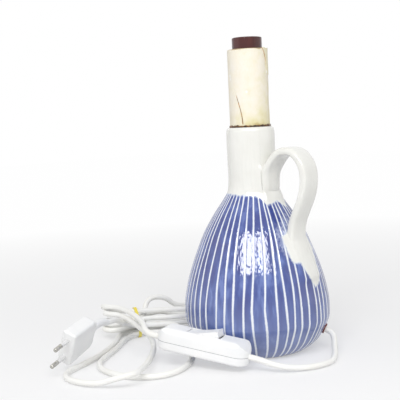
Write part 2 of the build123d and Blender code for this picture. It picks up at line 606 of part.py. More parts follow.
def make_rocker():
    half, half_y = ROCKER_LENGTH / 2, ROCKER_WIDTH / 2
    side = Line((-half, 0), (-half, ROCKER_TOP))
    side += ThreePointArc((-half, ROCKER_TOP), (0, ROCKER_TOP - ROCKER_DISH), (half, ROCKER_TOP))
    side += Polyline((half, ROCKER_TOP), (half, 0))
    side += Polyline((half, 0), (half / 3, -ROCKER_SKIRT), (-half / 3, -ROCKER_SKIRT), (-half, 0))
    body = extrude(Plane.XZ * make_face(side), half_y, both=True)
    bore = rod((0, -half_y - CUT_OVERRUN, 0), (0, half_y + CUT_OVERRUN, 0),
               PIVOT_RADIUS + PIVOT_RUNNING_FIT)
    nodes["switch_rocker"] = switch_plane * rocker_place() * (body - bore)
    bridge = block((-BRIDGE_LENGTH / 2, -BRIDGE_WIDTH / 2, -ROCKER_SKIRT - BRIDGE_THICKNESS),
                   (BRIDGE_LENGTH / 2, BRIDGE_WIDTH / 2, -ROCKER_SKIRT))
    nodes["contact_bridge"] = switch_plane * rocker_place() * bridge
    reach = half_y + ROCKER_GAP + PIVOT_LUG
    nodes["rocker_pin"] = switch_plane * rod(
        (ROCKER_CENTRE, -reach, PIVOT_HEIGHT), (ROCKER_CENTRE, reach, PIVOT_HEIGHT), PIVOT_RADIUS)


def make_switch_inside():
    contacts = []
    half = CONTACT_WIDTH / 2
    low = SWITCH_WALL
    for centre in (ROCKER_CENTRE - CONTACT_LENGTH, ROCKER_CENTRE + CONTACT_LENGTH):
        contacts.append(switch_block(
            (centre - CONTACT_LENGTH / 2, -half, low),
            (centre + CONTACT_LENGTH / 2, half, low + CONTACT_HEIGHT)).solid())
    nodes["fixed_contacts"] = Compound(contacts)
    bar = SWITCH_WIDTH / 2 - SWITCH_WALL - CONTACT_WIDTH / 2
    nodes["neutral_bar"] = switch_block(
        (CLAMP_INSET + CLAMP_LENGTH, bar - half / 2, low),
        (SWITCH_LENGTH - CLAMP_INSET - CLAMP_LENGTH, bar + half / 2, low + CONTACT_HEIGHT))
    nodes["cord_clamps"] = Compound([make_clamp(x).solid() for x in clamp_places()])
    tails = []
    for start, end in ((0, CLAMP_INSET + CLAMP_LENGTH),
                       (SWITCH_LENGTH - CLAMP_INSET - CLAMP_LENGTH, SWITCH_LENGTH)):
        tails.append((switch_plane * rod((start, 0, SWITCH_BASE_HEIGHT), (end, 0, SWITCH_BASE_HEIGHT),
                                         CORD_RADIUS)).solid())
    nodes["switch_cord_tails"] = Compound(tails)
    screws = []
    for x, y in screw_places():
        head = ring(SCREW_HEAD_RADIUS, 0, 0, SCREW_HEAD_HEIGHT)
        shank = ring(SCREW_RADIUS, 0, 0, SCREW_LENGTH)
        screws.append((switch_plane * (Pos(x, y, 0) * (head + shank))).solid())
    nodes["switch_screws"] = Compound(screws)


def clamp_places():
    return [CLAMP_INSET, SWITCH_LENGTH - CLAMP_INSET - CLAMP_LENGTH]


def make_clamp(start):
    """Saddle across the cord, standing on the base."""
    half = CORD_RADIUS + CORD_CLEARANCE + CLAMP_THICKNESS
    top = SWITCH_BASE_HEIGHT + CORD_RADIUS + CORD_CLEARANCE + CLAMP_THICKNESS
    saddle = block((start, -half, SWITCH_WALL), (start + CLAMP_LENGTH, half, top))
    return switch_plane * (saddle - cord_passage())


def make_plug():
    front, back = PLUG_WIDTH / 2, PLUG_BACK_SHARE * PLUG_WIDTH / 2
    corners = [(0, -front), (0, front), (PLUG_LENGTH, back), (PLUG_LENGTH, -back)]
    outline = make_face(Polyline(*corners, close=True))
    body = extrude(outline, PLUG_THICKNESS / 2, both=True)
    uprights = body.edges().filter_by(Axis.Z)
    body = fillet(uprights.group_by(Axis.X)[-1], PLUG_CORNER)
    body = fillet(body.edges().filter_by(Axis.Z), PLUG_EDGE)
    rims = body.faces().filter_by(Axis.Z)
    body = fillet(rims.edges(), PLUG_EDGE)
    pins, collars = [], []
    for side in (-PIN_SPACING / 2, PIN_SPACING / 2):
        core = rod((-PIN_LENGTH, side, 0), (PIN_ROOT, side, 0), PIN_CORE_RADIUS)
        tip = rod((-PIN_LENGTH, side, 0), (-PIN_COLLAR_LENGTH, side, 0), PIN_RADIUS)
        tip = fillet(tip.edges().group_by(Axis.X)[0], PIN_TIP_ROUND)
        core -= rod((-PIN_LENGTH - CUT_OVERRUN, side, 0), (-PIN_COLLAR_LENGTH, side, 0), PIN_RADIUS)
        pins.append((plug_plane * (core + tip)).solid())
        collar = rod((-PIN_COLLAR_LENGTH, side, 0), (0, side, 0), PIN_RADIUS)
        collars.append((plug_plane * (collar - rod(
            (-PIN_COLLAR_LENGTH, side, 0), (0, side, 0), PIN_CORE_RADIUS))).solid())
        body -= rod((0, side, 0), (PIN_ROOT, side, 0), PIN_CORE_RADIUS)
    nodes["plug_body"] = plug_plane * body
    nodes["plug_pins"] = Compound(pins)
    nodes["plug_pin_collars"] = Compound(collars)
    nodes["plug_strain_relief"] = make_relief()


def relief_places():
    """Root, middle and tip of the strain relief, and the way that each one faces."""
    back, away = Vector(*PLUG_FRAME_BACK), Vector(*RELIEF_DIRECTION).normalized()
    root = Vector(*PLUG_FRAME_ORIGIN) + back * PLUG_LENGTH
    middle = root + back * RELIEF_LENGTH * RELIEF_STRAIGHT_SHARE
    tip = middle + away * RELIEF_LENGTH * (1 - RELIEF_STRAIGHT_SHARE)
    return (root, back), (middle, (back + away).normalized()), (tip, away)


def make_relief():
    middle_radius = RELIEF_ROOT_RADIUS + (RELIEF_TIP_RADIUS - RELIEF_ROOT_RADIUS) * RELIEF_STRAIGHT_SHARE
    radii = (RELIEF_ROOT_RADIUS, middle_radius, RELIEF_TIP_RADIUS)
    sections = [Plane(at, z_dir=way) * Circle(radius)
                for (at, way), radius in zip(relief_places(), radii)]
    return loft(sections)


def hank_point(along, across, height):
    """Point in the hank's frame: along it from the tie, across it, and its height."""
    heading = radians(HANK_HEADING)
    return Vector(HANK_CENTRE[0] + along * cos(heading) - across * sin(heading),
                  HANK_CENTRE[1] + along * sin(heading) + across * cos(heading), height)


def hank_way(along, across, climb=0.0):
    heading = radians(HANK_HEADING)
    return Vector(along * cos(heading) - across * sin(heading),
                  along * sin(heading) + across * cos(heading), climb).normalized()


def hank_nodes():
    """Places and directions that the hank's loops pass through, the top loop first."""
    stops = []
    for loop in range(HANK_LOOP_COUNT):
        layer = HANK_LOOP_COUNT - 1 - loop
        height = HANK_BASE + HANK_PITCH * layer
        crest = HANK_CREST * layer / (HANK_LOOP_COUNT - 1)
        run = HANK_RIGHT_RUN * (1 + LOOP_RUN_SWAY_SHARE * sin(2 * loop + 1))
        half = HANK_RIGHT_HALF * (1 + LOOP_HALF_SWAY_SHARE * cos(2 * loop))
        left_half = HANK_LEFT_HALF * (1 + LOOP_HALF_SWAY_SHARE * sin(loop))
        stops += [
            (hank_point(0, HANK_WAIST, height), hank_way(1, 0)),
            (hank_point(CREST_PLACE_SHARE * run, CREST_HALF_SHARE * half, height + crest), hank_way(1, 0)),
            (hank_point(run, half, height + CREST_FADE_SHARES[0] * crest), hank_way(1, 0)),
            (hank_point(run + half, 0, height + CREST_FADE_SHARES[1] * crest), hank_way(0, -1)),
            (hank_point(run, -half, height), hank_way(-1, 0)),
            (hank_point(0, -HANK_WAIST, height), hank_way(-1, 0)),
        ]
        if layer:
            stops += [
                (hank_point(-HANK_LEFT_RUN, -left_half, height), hank_way(-1, 0)),
                (hank_point(-HANK_LEFT_RUN - left_half, 0, height), hank_way(0, 1)),
                (hank_point(-HANK_LEFT_RUN, left_half, height), hank_way(1, 0, -CLIMB_SLOPE)),
            ]
    return stops


def biarc(start, start_way, end, end_way):
    """Two tangent arcs from one place and direction to another, as edges."""
    chord, ways = end - start, start_way + end_way
    opening = 2 * (1 - start_way.dot(end_way))
    reach = chord.dot(ways)
    if opening < 1e-9:
        length = chord.dot(chord) / (4 * chord.dot(end_way))
    else:
        length = (sqrt(reach * reach + opening * chord.dot(chord)) - reach) / opening
    first, second = start + start_way * length, end - end_way * length
    join = (first + second) * 0.5
    return [arc_edge(start, first, join), arc_edge(join, second, end)]


def arc_edge(start, corner, end):
    """Arc that is tangent to both legs of an even-sided corner."""
    into, across = corner - start, end - start
    spread = into.dot(across) / (into.length * across.length)
    if spread > 1 - 1e-9:
        return Edge.make_line(start, end)
    middle = (start + corner * (2 * spread) + end) * (1 / (2 + 2 * spread))
    return Edge.make_three_point_arc(start, middle, end)


def make_hank():
    """One unbroken cord through every loop of the hank."""
    stops = hank_nodes()
    edges = []
    for (start, start_way), (end, end_way) in zip(stops, stops[1:]):
        edges += biarc(start, start_way, end, end_way)
    path = Wire(edges)
    section = Plane(stops[0][0], z_dir=stops[0][1]) * Circle(CORD_RADIUS)
    nodes["cord_hank"] = sweep(section, path=path)
    print(f"cord_hank: {path.length:.0f} mm in {HANK_LOOP_COUNT} loops,",
          f"volume {nodes['cord_hank'].volume / (pi * CORD_RADIUS ** 2 * path.length):.4f}",
          f"of section times length, least gap to itself {least_gap(edges):.2f} mm")
    return stops


def least_gap(edges, spacing=GAP_SPACING):
    """Least gap between turns of one cord, measured on points along its middle."""
    points, places, far = [], [], 0.0
    for edge in edges:
        count = max(int(edge.length / spacing), 1)
        for k in range(count):
            points.append(edge.position_at(k / count))
            places.append(far + edge.length * k / count)
        far += edge.length
    apart = 4 * CORD_DIAMETER
    gaps = [(a - b).length for i, a in enumerate(points) for j, b in enumerate(points[:i])
            if places[i] - places[j] > apart]
    return min(gaps) - CORD_DIAMETER


def cord_routes(stops):
    """Points of each free stretch: lamp to switch, switch to hank, hank to plug."""
    along = switch_plane.x_dir
    near = Vector(switch_plane.from_local_coords((0, 0, SWITCH_BASE_HEIGHT)))
    far = Vector(switch_plane.from_local_coords((SWITCH_LENGTH, 0, SWITCH_BASE_HEIGHT)))
    top, top_way = stops[0]
    end, end_way = stops[-1]
    tip, away = relief_places()[-1]
    return {
        "cord_lamp_to_switch": [
            tuple(bush_end), tuple(bush_end + bush_out * EXIT_LEAD), *LAMP_ROUTE,
            tuple(near - along * ROUTE_LEAD), tuple(near)],
        "cord_switch_to_hank": [
            tuple(far), tuple(far + along * ROUTE_LEAD), *HANK_ROUTE,
            tuple(top - top_way * ROUTE_LEAD), tuple(top)],
        "cord_hank_to_plug": [
            tuple(end), tuple(end + end_way * ROUTE_LEAD), *PLUG_ROUTE,
            tuple(tip + away * ROUTE_LEAD), tuple(tip)],
    }


def make_cords(stops):
    for name, points in cord_routes(stops).items():
        nodes[name] = tube(name, points)


def make_tie():
    """Band drawn round the hank's waist and the stretches that cross it."""
    top = HANK_BASE + HANK_PITCH * (HANK_LOOP_COUNT - 1)
    strands = [(HANK_WAIST, HANK_BASE), (HANK_WAIST, top), *TIE_CROSSINGS]
    hull = make_face(Polyline(*strands, close=True))
    reach = CORD_RADIUS + TIE_CLEARANCE
    band = offset(hull, reach + TIE_THICKNESS, kind=Kind.ARC) - offset(hull, reach, kind=Kind.ARC)
    plane = Plane(hank_point(0, 0, 0), x_dir=hank_way(0, 1), z_dir=hank_way(1, 0))
    nodes["hank_tie"] = plane * extrude(band, TIE_WIDTH / 2, both=True)


make_jug()
make_neck_fittings()
make_sleeve()
make_holder()
make_inner_lead()
make_switch_shells()
make_rocker()
make_switch_inside()
make_plug()
hank_stops = make_hank()
make_cords(hank_stops)
make_tie()

os.makedirs("parts", exist_ok=True)
for name, solid in nodes.items():
    export_step(solid, f"parts/{name}.step")
print(len(nodes), "nodes")
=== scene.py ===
# %% [markdown]
# # A jug-shaped lamp base
# The object is a hand-thrown jug that was turned into a lamp. A blue glaze covers its body, and the
# potter scratched lines through it down to the white clay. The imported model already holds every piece
# at its true place, so this lesson only gives the pieces their finish and the fine shapes that a
# hand-made thing has. Blender's unit is the metre, and the sizes below are written in millimetres.

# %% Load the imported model
import bpy
import math
import numpy as np
from mathutils import Matrix, Vector


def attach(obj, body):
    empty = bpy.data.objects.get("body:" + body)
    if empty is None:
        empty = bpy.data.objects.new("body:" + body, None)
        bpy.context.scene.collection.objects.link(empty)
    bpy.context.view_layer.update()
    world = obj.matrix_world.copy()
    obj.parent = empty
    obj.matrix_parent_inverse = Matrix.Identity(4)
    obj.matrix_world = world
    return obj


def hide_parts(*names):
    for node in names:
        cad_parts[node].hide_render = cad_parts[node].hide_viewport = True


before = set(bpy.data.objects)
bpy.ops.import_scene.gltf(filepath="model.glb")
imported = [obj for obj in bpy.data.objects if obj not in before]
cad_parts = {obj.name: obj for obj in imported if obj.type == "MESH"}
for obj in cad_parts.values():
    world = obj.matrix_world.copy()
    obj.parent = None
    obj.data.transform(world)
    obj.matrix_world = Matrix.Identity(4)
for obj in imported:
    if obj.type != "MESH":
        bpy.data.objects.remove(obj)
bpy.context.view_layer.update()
MM = 0.001
print("pieces in the packed model:", len(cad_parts))


# %% New objects and meshes
def new_object(name, data):
    """Object in the scene that holds the data."""
    made = bpy.data.objects.new(name, data)
    bpy.context.collection.objects.link(made)
    return made


def plain_mesh(source):
    """Mesh of an object as its settings and modifiers make it; the object itself goes."""
    seen = source.evaluated_get(bpy.context.evaluated_depsgraph_get())
    mesh = bpy.data.meshes.new_from_object(seen)
    bpy.data.objects.remove(source)
    return mesh


# %% [markdown]
# ## The camera
# The photograph was taken from just above the jug's middle, with a slight roll, so the lamp leans a
# little to the left. A long lens keeps the sides almost parallel. The camera is written as a place, a
# heading, a pitch and a roll, since these are the words a photographer would use.

# %% Camera
CAMERA_PLACE = (519.0, -651.4, 217.8)
CAMERA_HEADING = 42.0
CAMERA_PITCH = 5.07
CAMERA_ROLL = 2.56
CAMERA_LENS = 79.2

camera_data = bpy.data.cameras.new("camera")
camera_data.lens = CAMERA_LENS
camera_data.sensor_width = 36.0
camera_data.clip_start, camera_data.clip_end = 0.05, 20.0
camera = new_object("camera", camera_data)
turn = Matrix.Rotation(math.radians(CAMERA_HEADING), 4, "Z")
turn @= Matrix.Rotation(math.radians(90 - CAMERA_PITCH), 4, "X")
turn @= Matrix.Rotation(math.radians(-CAMERA_ROLL), 4, "Z")
camera.matrix_world = Matrix.Translation(Vector(CAMERA_PLACE) * MM) @ turn
bpy.context.scene.camera = camera
print("camera looks along", tuple(round(v, 3) for v in turn.to_3x3() @ Vector((0, 0, -1))))

# %% [markdown]
# ## Helpers for materials
# Colours are easiest to pick as the hex codes of a paint program, which are sRGB, while shaders work
# in linear light, so one function turns one into the other. Another adds a node with its values and
# links in a single call, and short ones on top of it make the nodes that come back often. That keeps
# each material short enough to read at a glance.

# %% Colour and node helpers
def hex_colour(code):
    """Linear colour, with full alpha, of an sRGB hex code such as 5468B4."""
    shares = [int(code[i:i + 2], 16) / 255 for i in (0, 2, 4)]
    return [s / 12.92 if s <= 0.04045 else ((s + 0.055) / 1.055) ** 2.4 for s in shares] + [1.0]


def add(tree, kind, inputs=None, output=0, stops=(), **settings):
    """Adds one node, sets or links its inputs, and returns the output that the next node needs.

    A ramp takes its stops as (position, hex colour). With output=None the node itself is returned.
    """
    made = tree.nodes.new(kind)
    for name, value in settings.items():
        setattr(made, name, value)
    for name, value in (inputs or {}).items():
        if isinstance(value, bpy.types.NodeSocket):
            tree.links.new(value, made.inputs[name])
        else:
            made.inputs[name].default_value = value
    while stops and len(made.color_ramp.elements) < len(stops):
        made.color_ramp.elements.new(0.5)
    for element, (position, code) in zip(made.color_ramp.elements if stops else (), stops):
        element.position, element.color = position, hex_colour(code)
    return made if output is None else made.outputs[output]


def new_material(name, **shader):
    """Material with one Principled shader; returns it with its tree and shader."""
    material = bpy.data.materials.new(name)
    material.use_nodes = True
    tree = material.node_tree
    tree.nodes.clear()
    bsdf = add(tree, "ShaderNodeBsdfPrincipled", shader, output=None)
    add(tree, "ShaderNodeOutputMaterial", {"Surface": bsdf.outputs["BSDF"]}, output=None)
    return material, tree, bsdf


def grain(tree, size_mm, detail=3.0, stretch=(1, 1, 1)):
    """Noise over the piece's own coordinates, whose features are about size_mm across."""
    place = add(tree, "ShaderNodeTexCoord", output="Object")
    scale = [s / (size_mm * MM) for s in stretch]
    scaled = add(tree, "ShaderNodeVectorMath", {0: place, 1: scale}, operation="MULTIPLY")
    return add(tree, "ShaderNodeTexNoise", {"Vector": scaled, "Scale": 1.0, "Detail": detail})


# %% Nodes for numbers
def painted(tree, attribute):
    """What a vertex attribute holds at each point."""
    return add(tree, "ShaderNodeAttribute", output="Fac", attribute_name=attribute)


def maths(tree, operation, *values, **settings):
    """One step of arithmetic with one value or two."""
    return add(tree, "ShaderNodeMath", dict(enumerate(values)), operation=operation, **settings)


def mapped(tree, value, start=0.0, end=1.0, to_start=0.0, to_end=1.0):
    """Takes a value from one range to another, and keeps it inside that one."""
    return add(tree, "ShaderNodeMapRange", {
        "Value": value, "From Min": start, "From Max": end, "To Min": to_start, "To Max": to_end})


# %% Nodes for colours and bumps
def toned(tree, value, *stops):
    """Colour that a value picks from a ramp, whose stops are a position and a hex colour each."""
    return add(tree, "ShaderNodeValToRGB", {"Fac": value}, stops=stops)


def mixed(tree, factor, first, second):
    """Mixes two colours, from all of the first at 0 to all of the second at 1.

    A Mix node of colours takes them at its sockets 6 and 7, and gives the mixed one at its output 2.
    """
    return add(tree, "ShaderNodeMix", {"Factor": factor, 6: first, 7: second}, output=2, data_type="RGBA")


def bump(tree, shader, height, depth_mm, strength):
    """Lets a pattern raise and lower the shader's surface."""
    bumped = add(tree, "ShaderNodeBump", {
        "Height": height, "Distance": depth_mm * MM, "Strength": strength})
    tree.links.new(bumped, shader.inputs["Normal"])


# %% [markdown]
# ## Helpers for meshes
# Most hand-made pieces here are grids of points: rows along a profile, columns round it. Points are
# collected in millimetres with NumPy and turned to metres once, when the mesh is made. Each piece
# stays at the origin with its place in its mesh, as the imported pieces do.

# %% Mesh helpers
def make_piece(name, points, faces, material, attributes=None, smooth=True):
    """Mesh object at the origin from points in millimetres."""
    mesh = bpy.data.meshes.new(name)
    mesh.from_pydata([tuple(p) for p in np.asarray(points) * MM], [], faces)
    for label, values in (attributes or {}).items():
        layer = mesh.attributes.new(label, "FLOAT", "POINT")
        layer.data.foreach_set("value", np.asarray(values, dtype=np.float32))
    mesh.polygons.foreach_set("use_smooth", [smooth] * len(mesh.polygons))
    mesh.materials.append(material)
    mesh.validate()
    return new_object(name, mesh)


def grid_faces(rows, columns, round_columns=True, round_rows=False):
    """Quads of a grid stored row by row, closed round its columns or its rows where asked."""
    faces = []
    for i in range(rows if round_rows else rows - 1):
        for j in range(columns if round_columns else columns - 1):
            k, m = (i + 1) % rows, (j + 1) % columns
            faces.append((i * columns + j, i * columns + m, k * columns + m, k * columns + j))
    return faces


# %% Shape helpers
def curve_through(places, values, wanted):
    """Smooth curve through given values, which doesn't swing past them."""
    x, y = np.asarray(places, float), np.asarray(values, float)
    steps = np.diff(y) / np.diff(x)
    slopes = np.concatenate([[steps[0]], (steps[1:] + steps[:-1]) / 2, [steps[-1]]])
    slopes[1:-1][steps[1:] * steps[:-1] <= 0] = 0
    i = np.clip(np.searchsorted(x, wanted, side="right") - 1, 0, len(x) - 2)
    width = x[i + 1] - x[i]
    t = (np.asarray(wanted, float) - x[i]) / width
    return ((2 * t**3 - 3 * t**2 + 1) * y[i] + (t**3 - 2 * t**2 + t) * width * slopes[i]
            + (3 * t**2 - 2 * t**3) * y[i + 1] + (t**3 - t**2) * width * slopes[i + 1])


def ramp(values, start, end):
    """0 up to the start, 1 from the end on, and straight between them."""
    return np.clip((values - start) / (end - start), 0, 1)


def bell(values, centre, spread):
    """1 at the centre, falling smoothly on both sides of it to about a third at one spread."""
    return np.exp(-((values - centre) / spread) ** 2)


def round_axis(radius, angle, height):
    """Points at a distance from the lamp's axis, an angle in radians and a height."""
    radius, angle, height = np.broadcast_arrays(radius, angle, height)
    return np.stack([radius * np.cos(angle), radius * np.sin(angle), height], axis=-1)


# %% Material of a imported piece
def give(node, material):
    """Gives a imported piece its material."""
    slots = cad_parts[node].data.materials
    slots.clear()
    slots.append(material)


# %% [markdown]
# ## The white cord
# The lead is a round sheathed cord, 5.4 mm thick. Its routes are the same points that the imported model
# was built from. A NURBS curve of order 3 bends through them as a cord does: it is tangent to every
# run and has no kinks. The bunch beside the lamp is three loops in one unbroken cord, so its points
# come from a loop over the turns, a little different in each.

# %% Cord material
# Soft PVC sheath: smooth and faintly satin, in a white that drifts a little along the lead.
cord_pvc, tree, shader = new_material("white_pvc_sheath", Roughness=0.42, IOR=1.5)
tone = toned(tree, grain(tree, 30), (0.3, "F4F3EE"), (0.7, "F9F9F7"))
bump(tree, shader, grain(tree, 1.2), 0.05, 0.4)
tree.links.new(tone, shader.inputs["Base Color"])

# %% Routes of the cord
CORD_WIDE = 5.4
BUSH_END = (59.51, 26.50, 19.54)
BUSH_OUT = (0.82796, 0.36863, -0.42262)
HANK_CENTRE = (-138.2, -30.3)
HANK_HEADING = math.radians(64.0)
SWITCH_LAMP_END = (45.826, -70.546, 12.713)
SWITCH_FAR_END = (-37.202, -96.664, 25.702)
SWITCH_ALONG = (-0.9435, -0.2968, 0.1476)
RELIEF_TIP = (-95.573, -107.560, 33.974)
RELIEF_AWAY = (-0.2200, 0.9703, -0.1000)
# How far the cord runs straight on at a fitting, and at the bush.
LEAD, BUSH_LEAD = 8.0, 6.0

LAMP_ROUTE = (
    (70, 25, 13), (76, 16, 8.5), (85, 3, 4.2), (92, -11, 2.8), (92, -25, 2.8), (88, -37, 2.8),
    (82, -47, 3.2), (74, -57, 4.8), (65, -63.5, 7.5),
)
HANK_ROUTE = (
    (-52, -98.8, 29.2), (-57.5, -95.5, 31), (-64, -90, 32), (-77, -81, 32.3), (-93, -71.5, 32.5),
    (-112, -61.5, 32.5), (-128, -54.5, 32.5), (-141, -51.5, 32.5), (-152, -53, 32.3),
    (-161, -53, 31.5), (-167, -48.5, 29.8), (-168, -42, 27.5), (-163, -38, 24.5),
    (-156, -38.5, 22), (-149.5, -39.7, 20.2),
)
PLUG_ROUTE = (
    (-141.8, -45, 3.6), (-139.5, -52.5, 3.2), (-132.5, -61.5, 2.8), (-123, -74, 2.8), (-109, -96, 2.8),
    (-97, -121, 2.8), (-89.5, -147, 2.8), (-83, -169, 2.9), (-68.5, -182, 2.8), (-47, -183, 2.8),
    (-30, -178, 3.8), (-17, -174, 8.5), (-8, -168.5, 11.5), (-5, -161, 12), (-8, -152, 11.5),
    (-15, -141, 10.5), (-27, -125, 8), (-41, -107, 6), (-53, -92, 5), (-61, -82, 5.2), (-65.5, -77, 8.5),
    (-67, -76.5, 14), (-68.5, -79, 19), (-73, -80.5, 22.8), (-81, -78.5, 24.6), (-95, -72, 25.5),
    (-112, -64, 26), (-127, -57.5, 26), (-139, -55, 26), (-149, -57, 25.8), (-157, -55.5, 25.6),
    (-161, -50, 25.8), (-158.5, -44, 26.2), (-151, -41.5, 26.4), (-143, -37, 25.6), (-134, -24, 24.6),
    (-123, -9, 24), (-111, 3.5, 24), (-100.5, 11.5, 23.6), (-93, 17, 21), (-89, 20, 16.5),
    (-87.5, 20.5, 11.5), (-88.5, 19, 7), (-93, 12, 3.8), (-101, 1, 3.2), (-112, -13, 3.4),
    (-123, -26, 3.6), (-129, -38, 3.6), (-127, -53, 3.2), (-117, -70, 3), (-105, -89, 2.8),
    (-94, -110, 2.8), (-83, -130, 2.8), (-67, -144, 2.8), (-47, -149, 2.8), (-27, -148, 2.8),
    (-10, -139, 2.8), (-1, -122, 2.8), (-4, -100, 2.8), (-16, -76, 2.8), (-38, -55, 2.8),
    (-62, -38, 3.4), (-79, -25, 6), (-91, -15, 9.3), (-100, -8.5, 11), (-108.5, -9.5, 11.3),
    (-116, -18.5, 11.5), (-122.5, -28.5, 12), (-127, -38, 13), (-128.5, -48, 15.5),
    (-125, -59, 19.2), (-117, -72, 25.3), (-105.5, -88, 31),
)


# %% Directions in the hank
def hank_place(along, across, height):
    """Point in the hank's own directions: along it from the tie, across it, and up."""
    c, s = math.cos(HANK_HEADING), math.sin(HANK_HEADING)
    return np.array((HANK_CENTRE[0] + along * c - across * s,
                     HANK_CENTRE[1] + along * s + across * c, height))


def hank_way(along, across, climb=0.0):
    """Direction in the hank, as an arrow of length 1."""
    way = hank_place(along, across, climb) - hank_place(0, 0, 0)
    return way / np.linalg.norm(way)


# %% Loops of the hank
# The cord goes out on one side of the tie, round a bow, back on the other side and round a small tail
# behind the tie. Each loop lies a pitch lower than the last, and its sizes differ a little. At the
# waist the tie holds it narrow, and the upper loops arch up to their crest beyond it.
LOOPS, LOWEST, PITCH, CREST = 3, 3.6, 6.5, 18.0
WAIST, RUN, BOW_HALF = 3.1, 58.0, 13.5
TAIL_BACK, TAIL_HALF, TAIL_DROP = 23.0, 9.0, 0.22


def hank_stops():
    """Places that the loops pass and the way the cord runs there, the top loop first."""
    stops = []
    for loop in range(LOOPS):
        layer = LOOPS - 1 - loop
        z = LOWEST + PITCH * layer
        crest = CREST * layer / (LOOPS - 1)
        run = RUN * (1 + 0.04 * math.sin(2 * loop + 1))
        half = BOW_HALF * (1 + 0.10 * math.cos(2 * loop))
        tail = TAIL_HALF * (1 + 0.10 * math.sin(loop))
        stops += [
            (hank_place(0, WAIST, z), hank_way(1, 0)),
            (hank_place(0.46 * run, 0.8 * half, z + crest), hank_way(1, 0)),
            (hank_place(run, half, z + 0.3 * crest), hank_way(1, 0)),
            (hank_place(run + half, 0, z + 0.15 * crest), hank_way(0, -1)),
            (hank_place(run, -half, z), hank_way(-1, 0)),
            (hank_place(0, -WAIST, z), hank_way(-1, 0)),
        ]
        if layer:
            stops += [
                (hank_place(-TAIL_BACK, -tail, z), hank_way(-1, 0)),
                (hank_place(-TAIL_BACK - tail, 0, z), hank_way(0, 1)),
                (hank_place(-TAIL_BACK, tail, z), hank_way(1, 0, -TAIL_DROP)),
            ]
    return stops


def leg_ends(start, start_way, end, end_way):
    """The two corners of the tangent legs that join one stop of the hank to the next."""
    chord, ways = end - start, start_way + end_way
    opening, reach = 2 * (1 - start_way @ end_way), chord @ ways
    if opening < 1e-9:
        length = (chord @ chord) / (4 * chord @ end_way)
    else:
        length = (math.sqrt(reach**2 + opening * (chord @ chord)) - reach) / opening
    return [start + start_way * length, end - end_way * length]


stops = hank_stops()
hank_points = []
for (here, way), (there, next_way) in zip(stops, stops[1:]):
    hank_points += leg_ends(here, way, there, next_way)
print("points in the hank:", len(hank_points))


# %% Draw the cord
def draw_cord(name, points):
    """Open NURBS curve of order 3 through the run of points, as thick as the cord."""
    data = bpy.data.curves.new(name, "CURVE")
    data.dimensions = "3D"
    spline = data.splines.new("NURBS")
    spline.points.add(len(points) - 1)
    for point, place in zip(spline.points, points):
        point.co = (*(v * MM for v in place), 1.0)
    spline.order_u = 3
    spline.use_endpoint_u = True
    spline.resolution_u = 10
    data.bevel_depth = CORD_WIDE / 2 * MM
    data.bevel_resolution = 5
    data.use_fill_caps = True
    data.materials.append(cord_pvc)
    return new_object(name, data)


def curve_length(cord):
    """Length along the curve itself, in metres."""
    data = cord.data.copy()
    data.bevel_depth = 0
    mesh = plain_mesh(new_object("probe", data))
    places = np.array([v.co for v in mesh.vertices])
    return float(np.linalg.norm(np.diff(places, axis=0), axis=1).sum())


def ahead(place, way, far):
    """Point that lies so far from a place in the way given."""
    return tuple(p + w * far for p, w in zip(place, way))


# %% The cord up to the switch, and from there on
lamp_points = [BUSH_END, ahead(BUSH_END, BUSH_OUT, BUSH_LEAD), *LAMP_ROUTE,
               ahead(SWITCH_LAMP_END, SWITCH_ALONG, -LEAD), SWITCH_LAMP_END]
top, top_way = stops[0]
bottom, bottom_way = stops[-1]
long_points = [SWITCH_FAR_END, ahead(SWITCH_FAR_END, SWITCH_ALONG, LEAD), *HANK_ROUTE,
               tuple(top - top_way * LEAD), *hank_points, tuple(bottom + bottom_way * LEAD),
               *PLUG_ROUTE, ahead(RELIEF_TIP, RELIEF_AWAY, LEAD), RELIEF_TIP]
lamp_cord = draw_cord("lamp_cord", lamp_points)
long_cord = draw_cord("long_cord", long_points)
bpy.context.view_layer.update()
lamp_length, long_length = curve_length(lamp_cord), curve_length(long_cord)
print(f"cord lengths: {lamp_length:.3f} m to the switch, {long_length:.3f} m on to the plug")

# %% What the cords carry and stand for
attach(lamp_cord, "lamp")
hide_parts("cord_lamp_to_switch")
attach(long_cord, "lamp")
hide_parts("cord_switch_to_hank", "cord_hank", "cord_hank_to_plug")

# %% [markdown]
# ## The glaze
# Two glazes meet on this jug. A milky white one covers the neck and the handle, and a blue one was
# brushed over the body. The lines were scratched while the blue was still raw, so they show the white
# underneath and have slightly soft edges. Vertex attributes carry how far each point is from its
# line, counted in half widths of the line, how much blue there is and where the blue was rubbed thin.
# Noise makes every edge uneven. The brush went up and down, so the blue's noise is stretched that way.

# %% Glaze: the brushed blue
# Glossy transparent stoneware glaze over a cobalt slip: deep where the brush left more of it.
glaze, tree, shader = new_material("blue_and_white_glaze", Roughness=0.06, IOR=1.62)
shader.inputs["Specular IOR Level"].default_value = 0.9
scratch = painted(tree, "scratch")
blue = painted(tree, "blue")
rubbed = painted(tree, "rubbed")
place = add(tree, "ShaderNodeTexCoord", output="Object")
height = add(tree, "ShaderNodeSeparateXYZ", {"Vector": place}, output="Z")
STREAK_MM, CLOUD_MM = 5.0, 26.0
streaks = grain(tree, STREAK_MM, 4.0, (1, 1, 0.14))
clouds = grain(tree, CLOUD_MM, 3.0, (1, 1, 0.6))
laid = maths(tree, "ADD", streaks, clouds)
laid = mapped(tree, laid, 0.72, 1.28)
slip = toned(tree, laid, (0.08, "142A82"), (0.38, "203A8B"), (0.62, "324C99"), (0.92, "5D73B6"))
up_high = mapped(tree, height, 100 * MM, 146 * MM, 0.0, 0.45)
slip = mixed(tree, up_high, slip, hex_colour("22378A"))
down_low = mapped(tree, height, 64 * MM, 16 * MM, 0.0, 0.62)
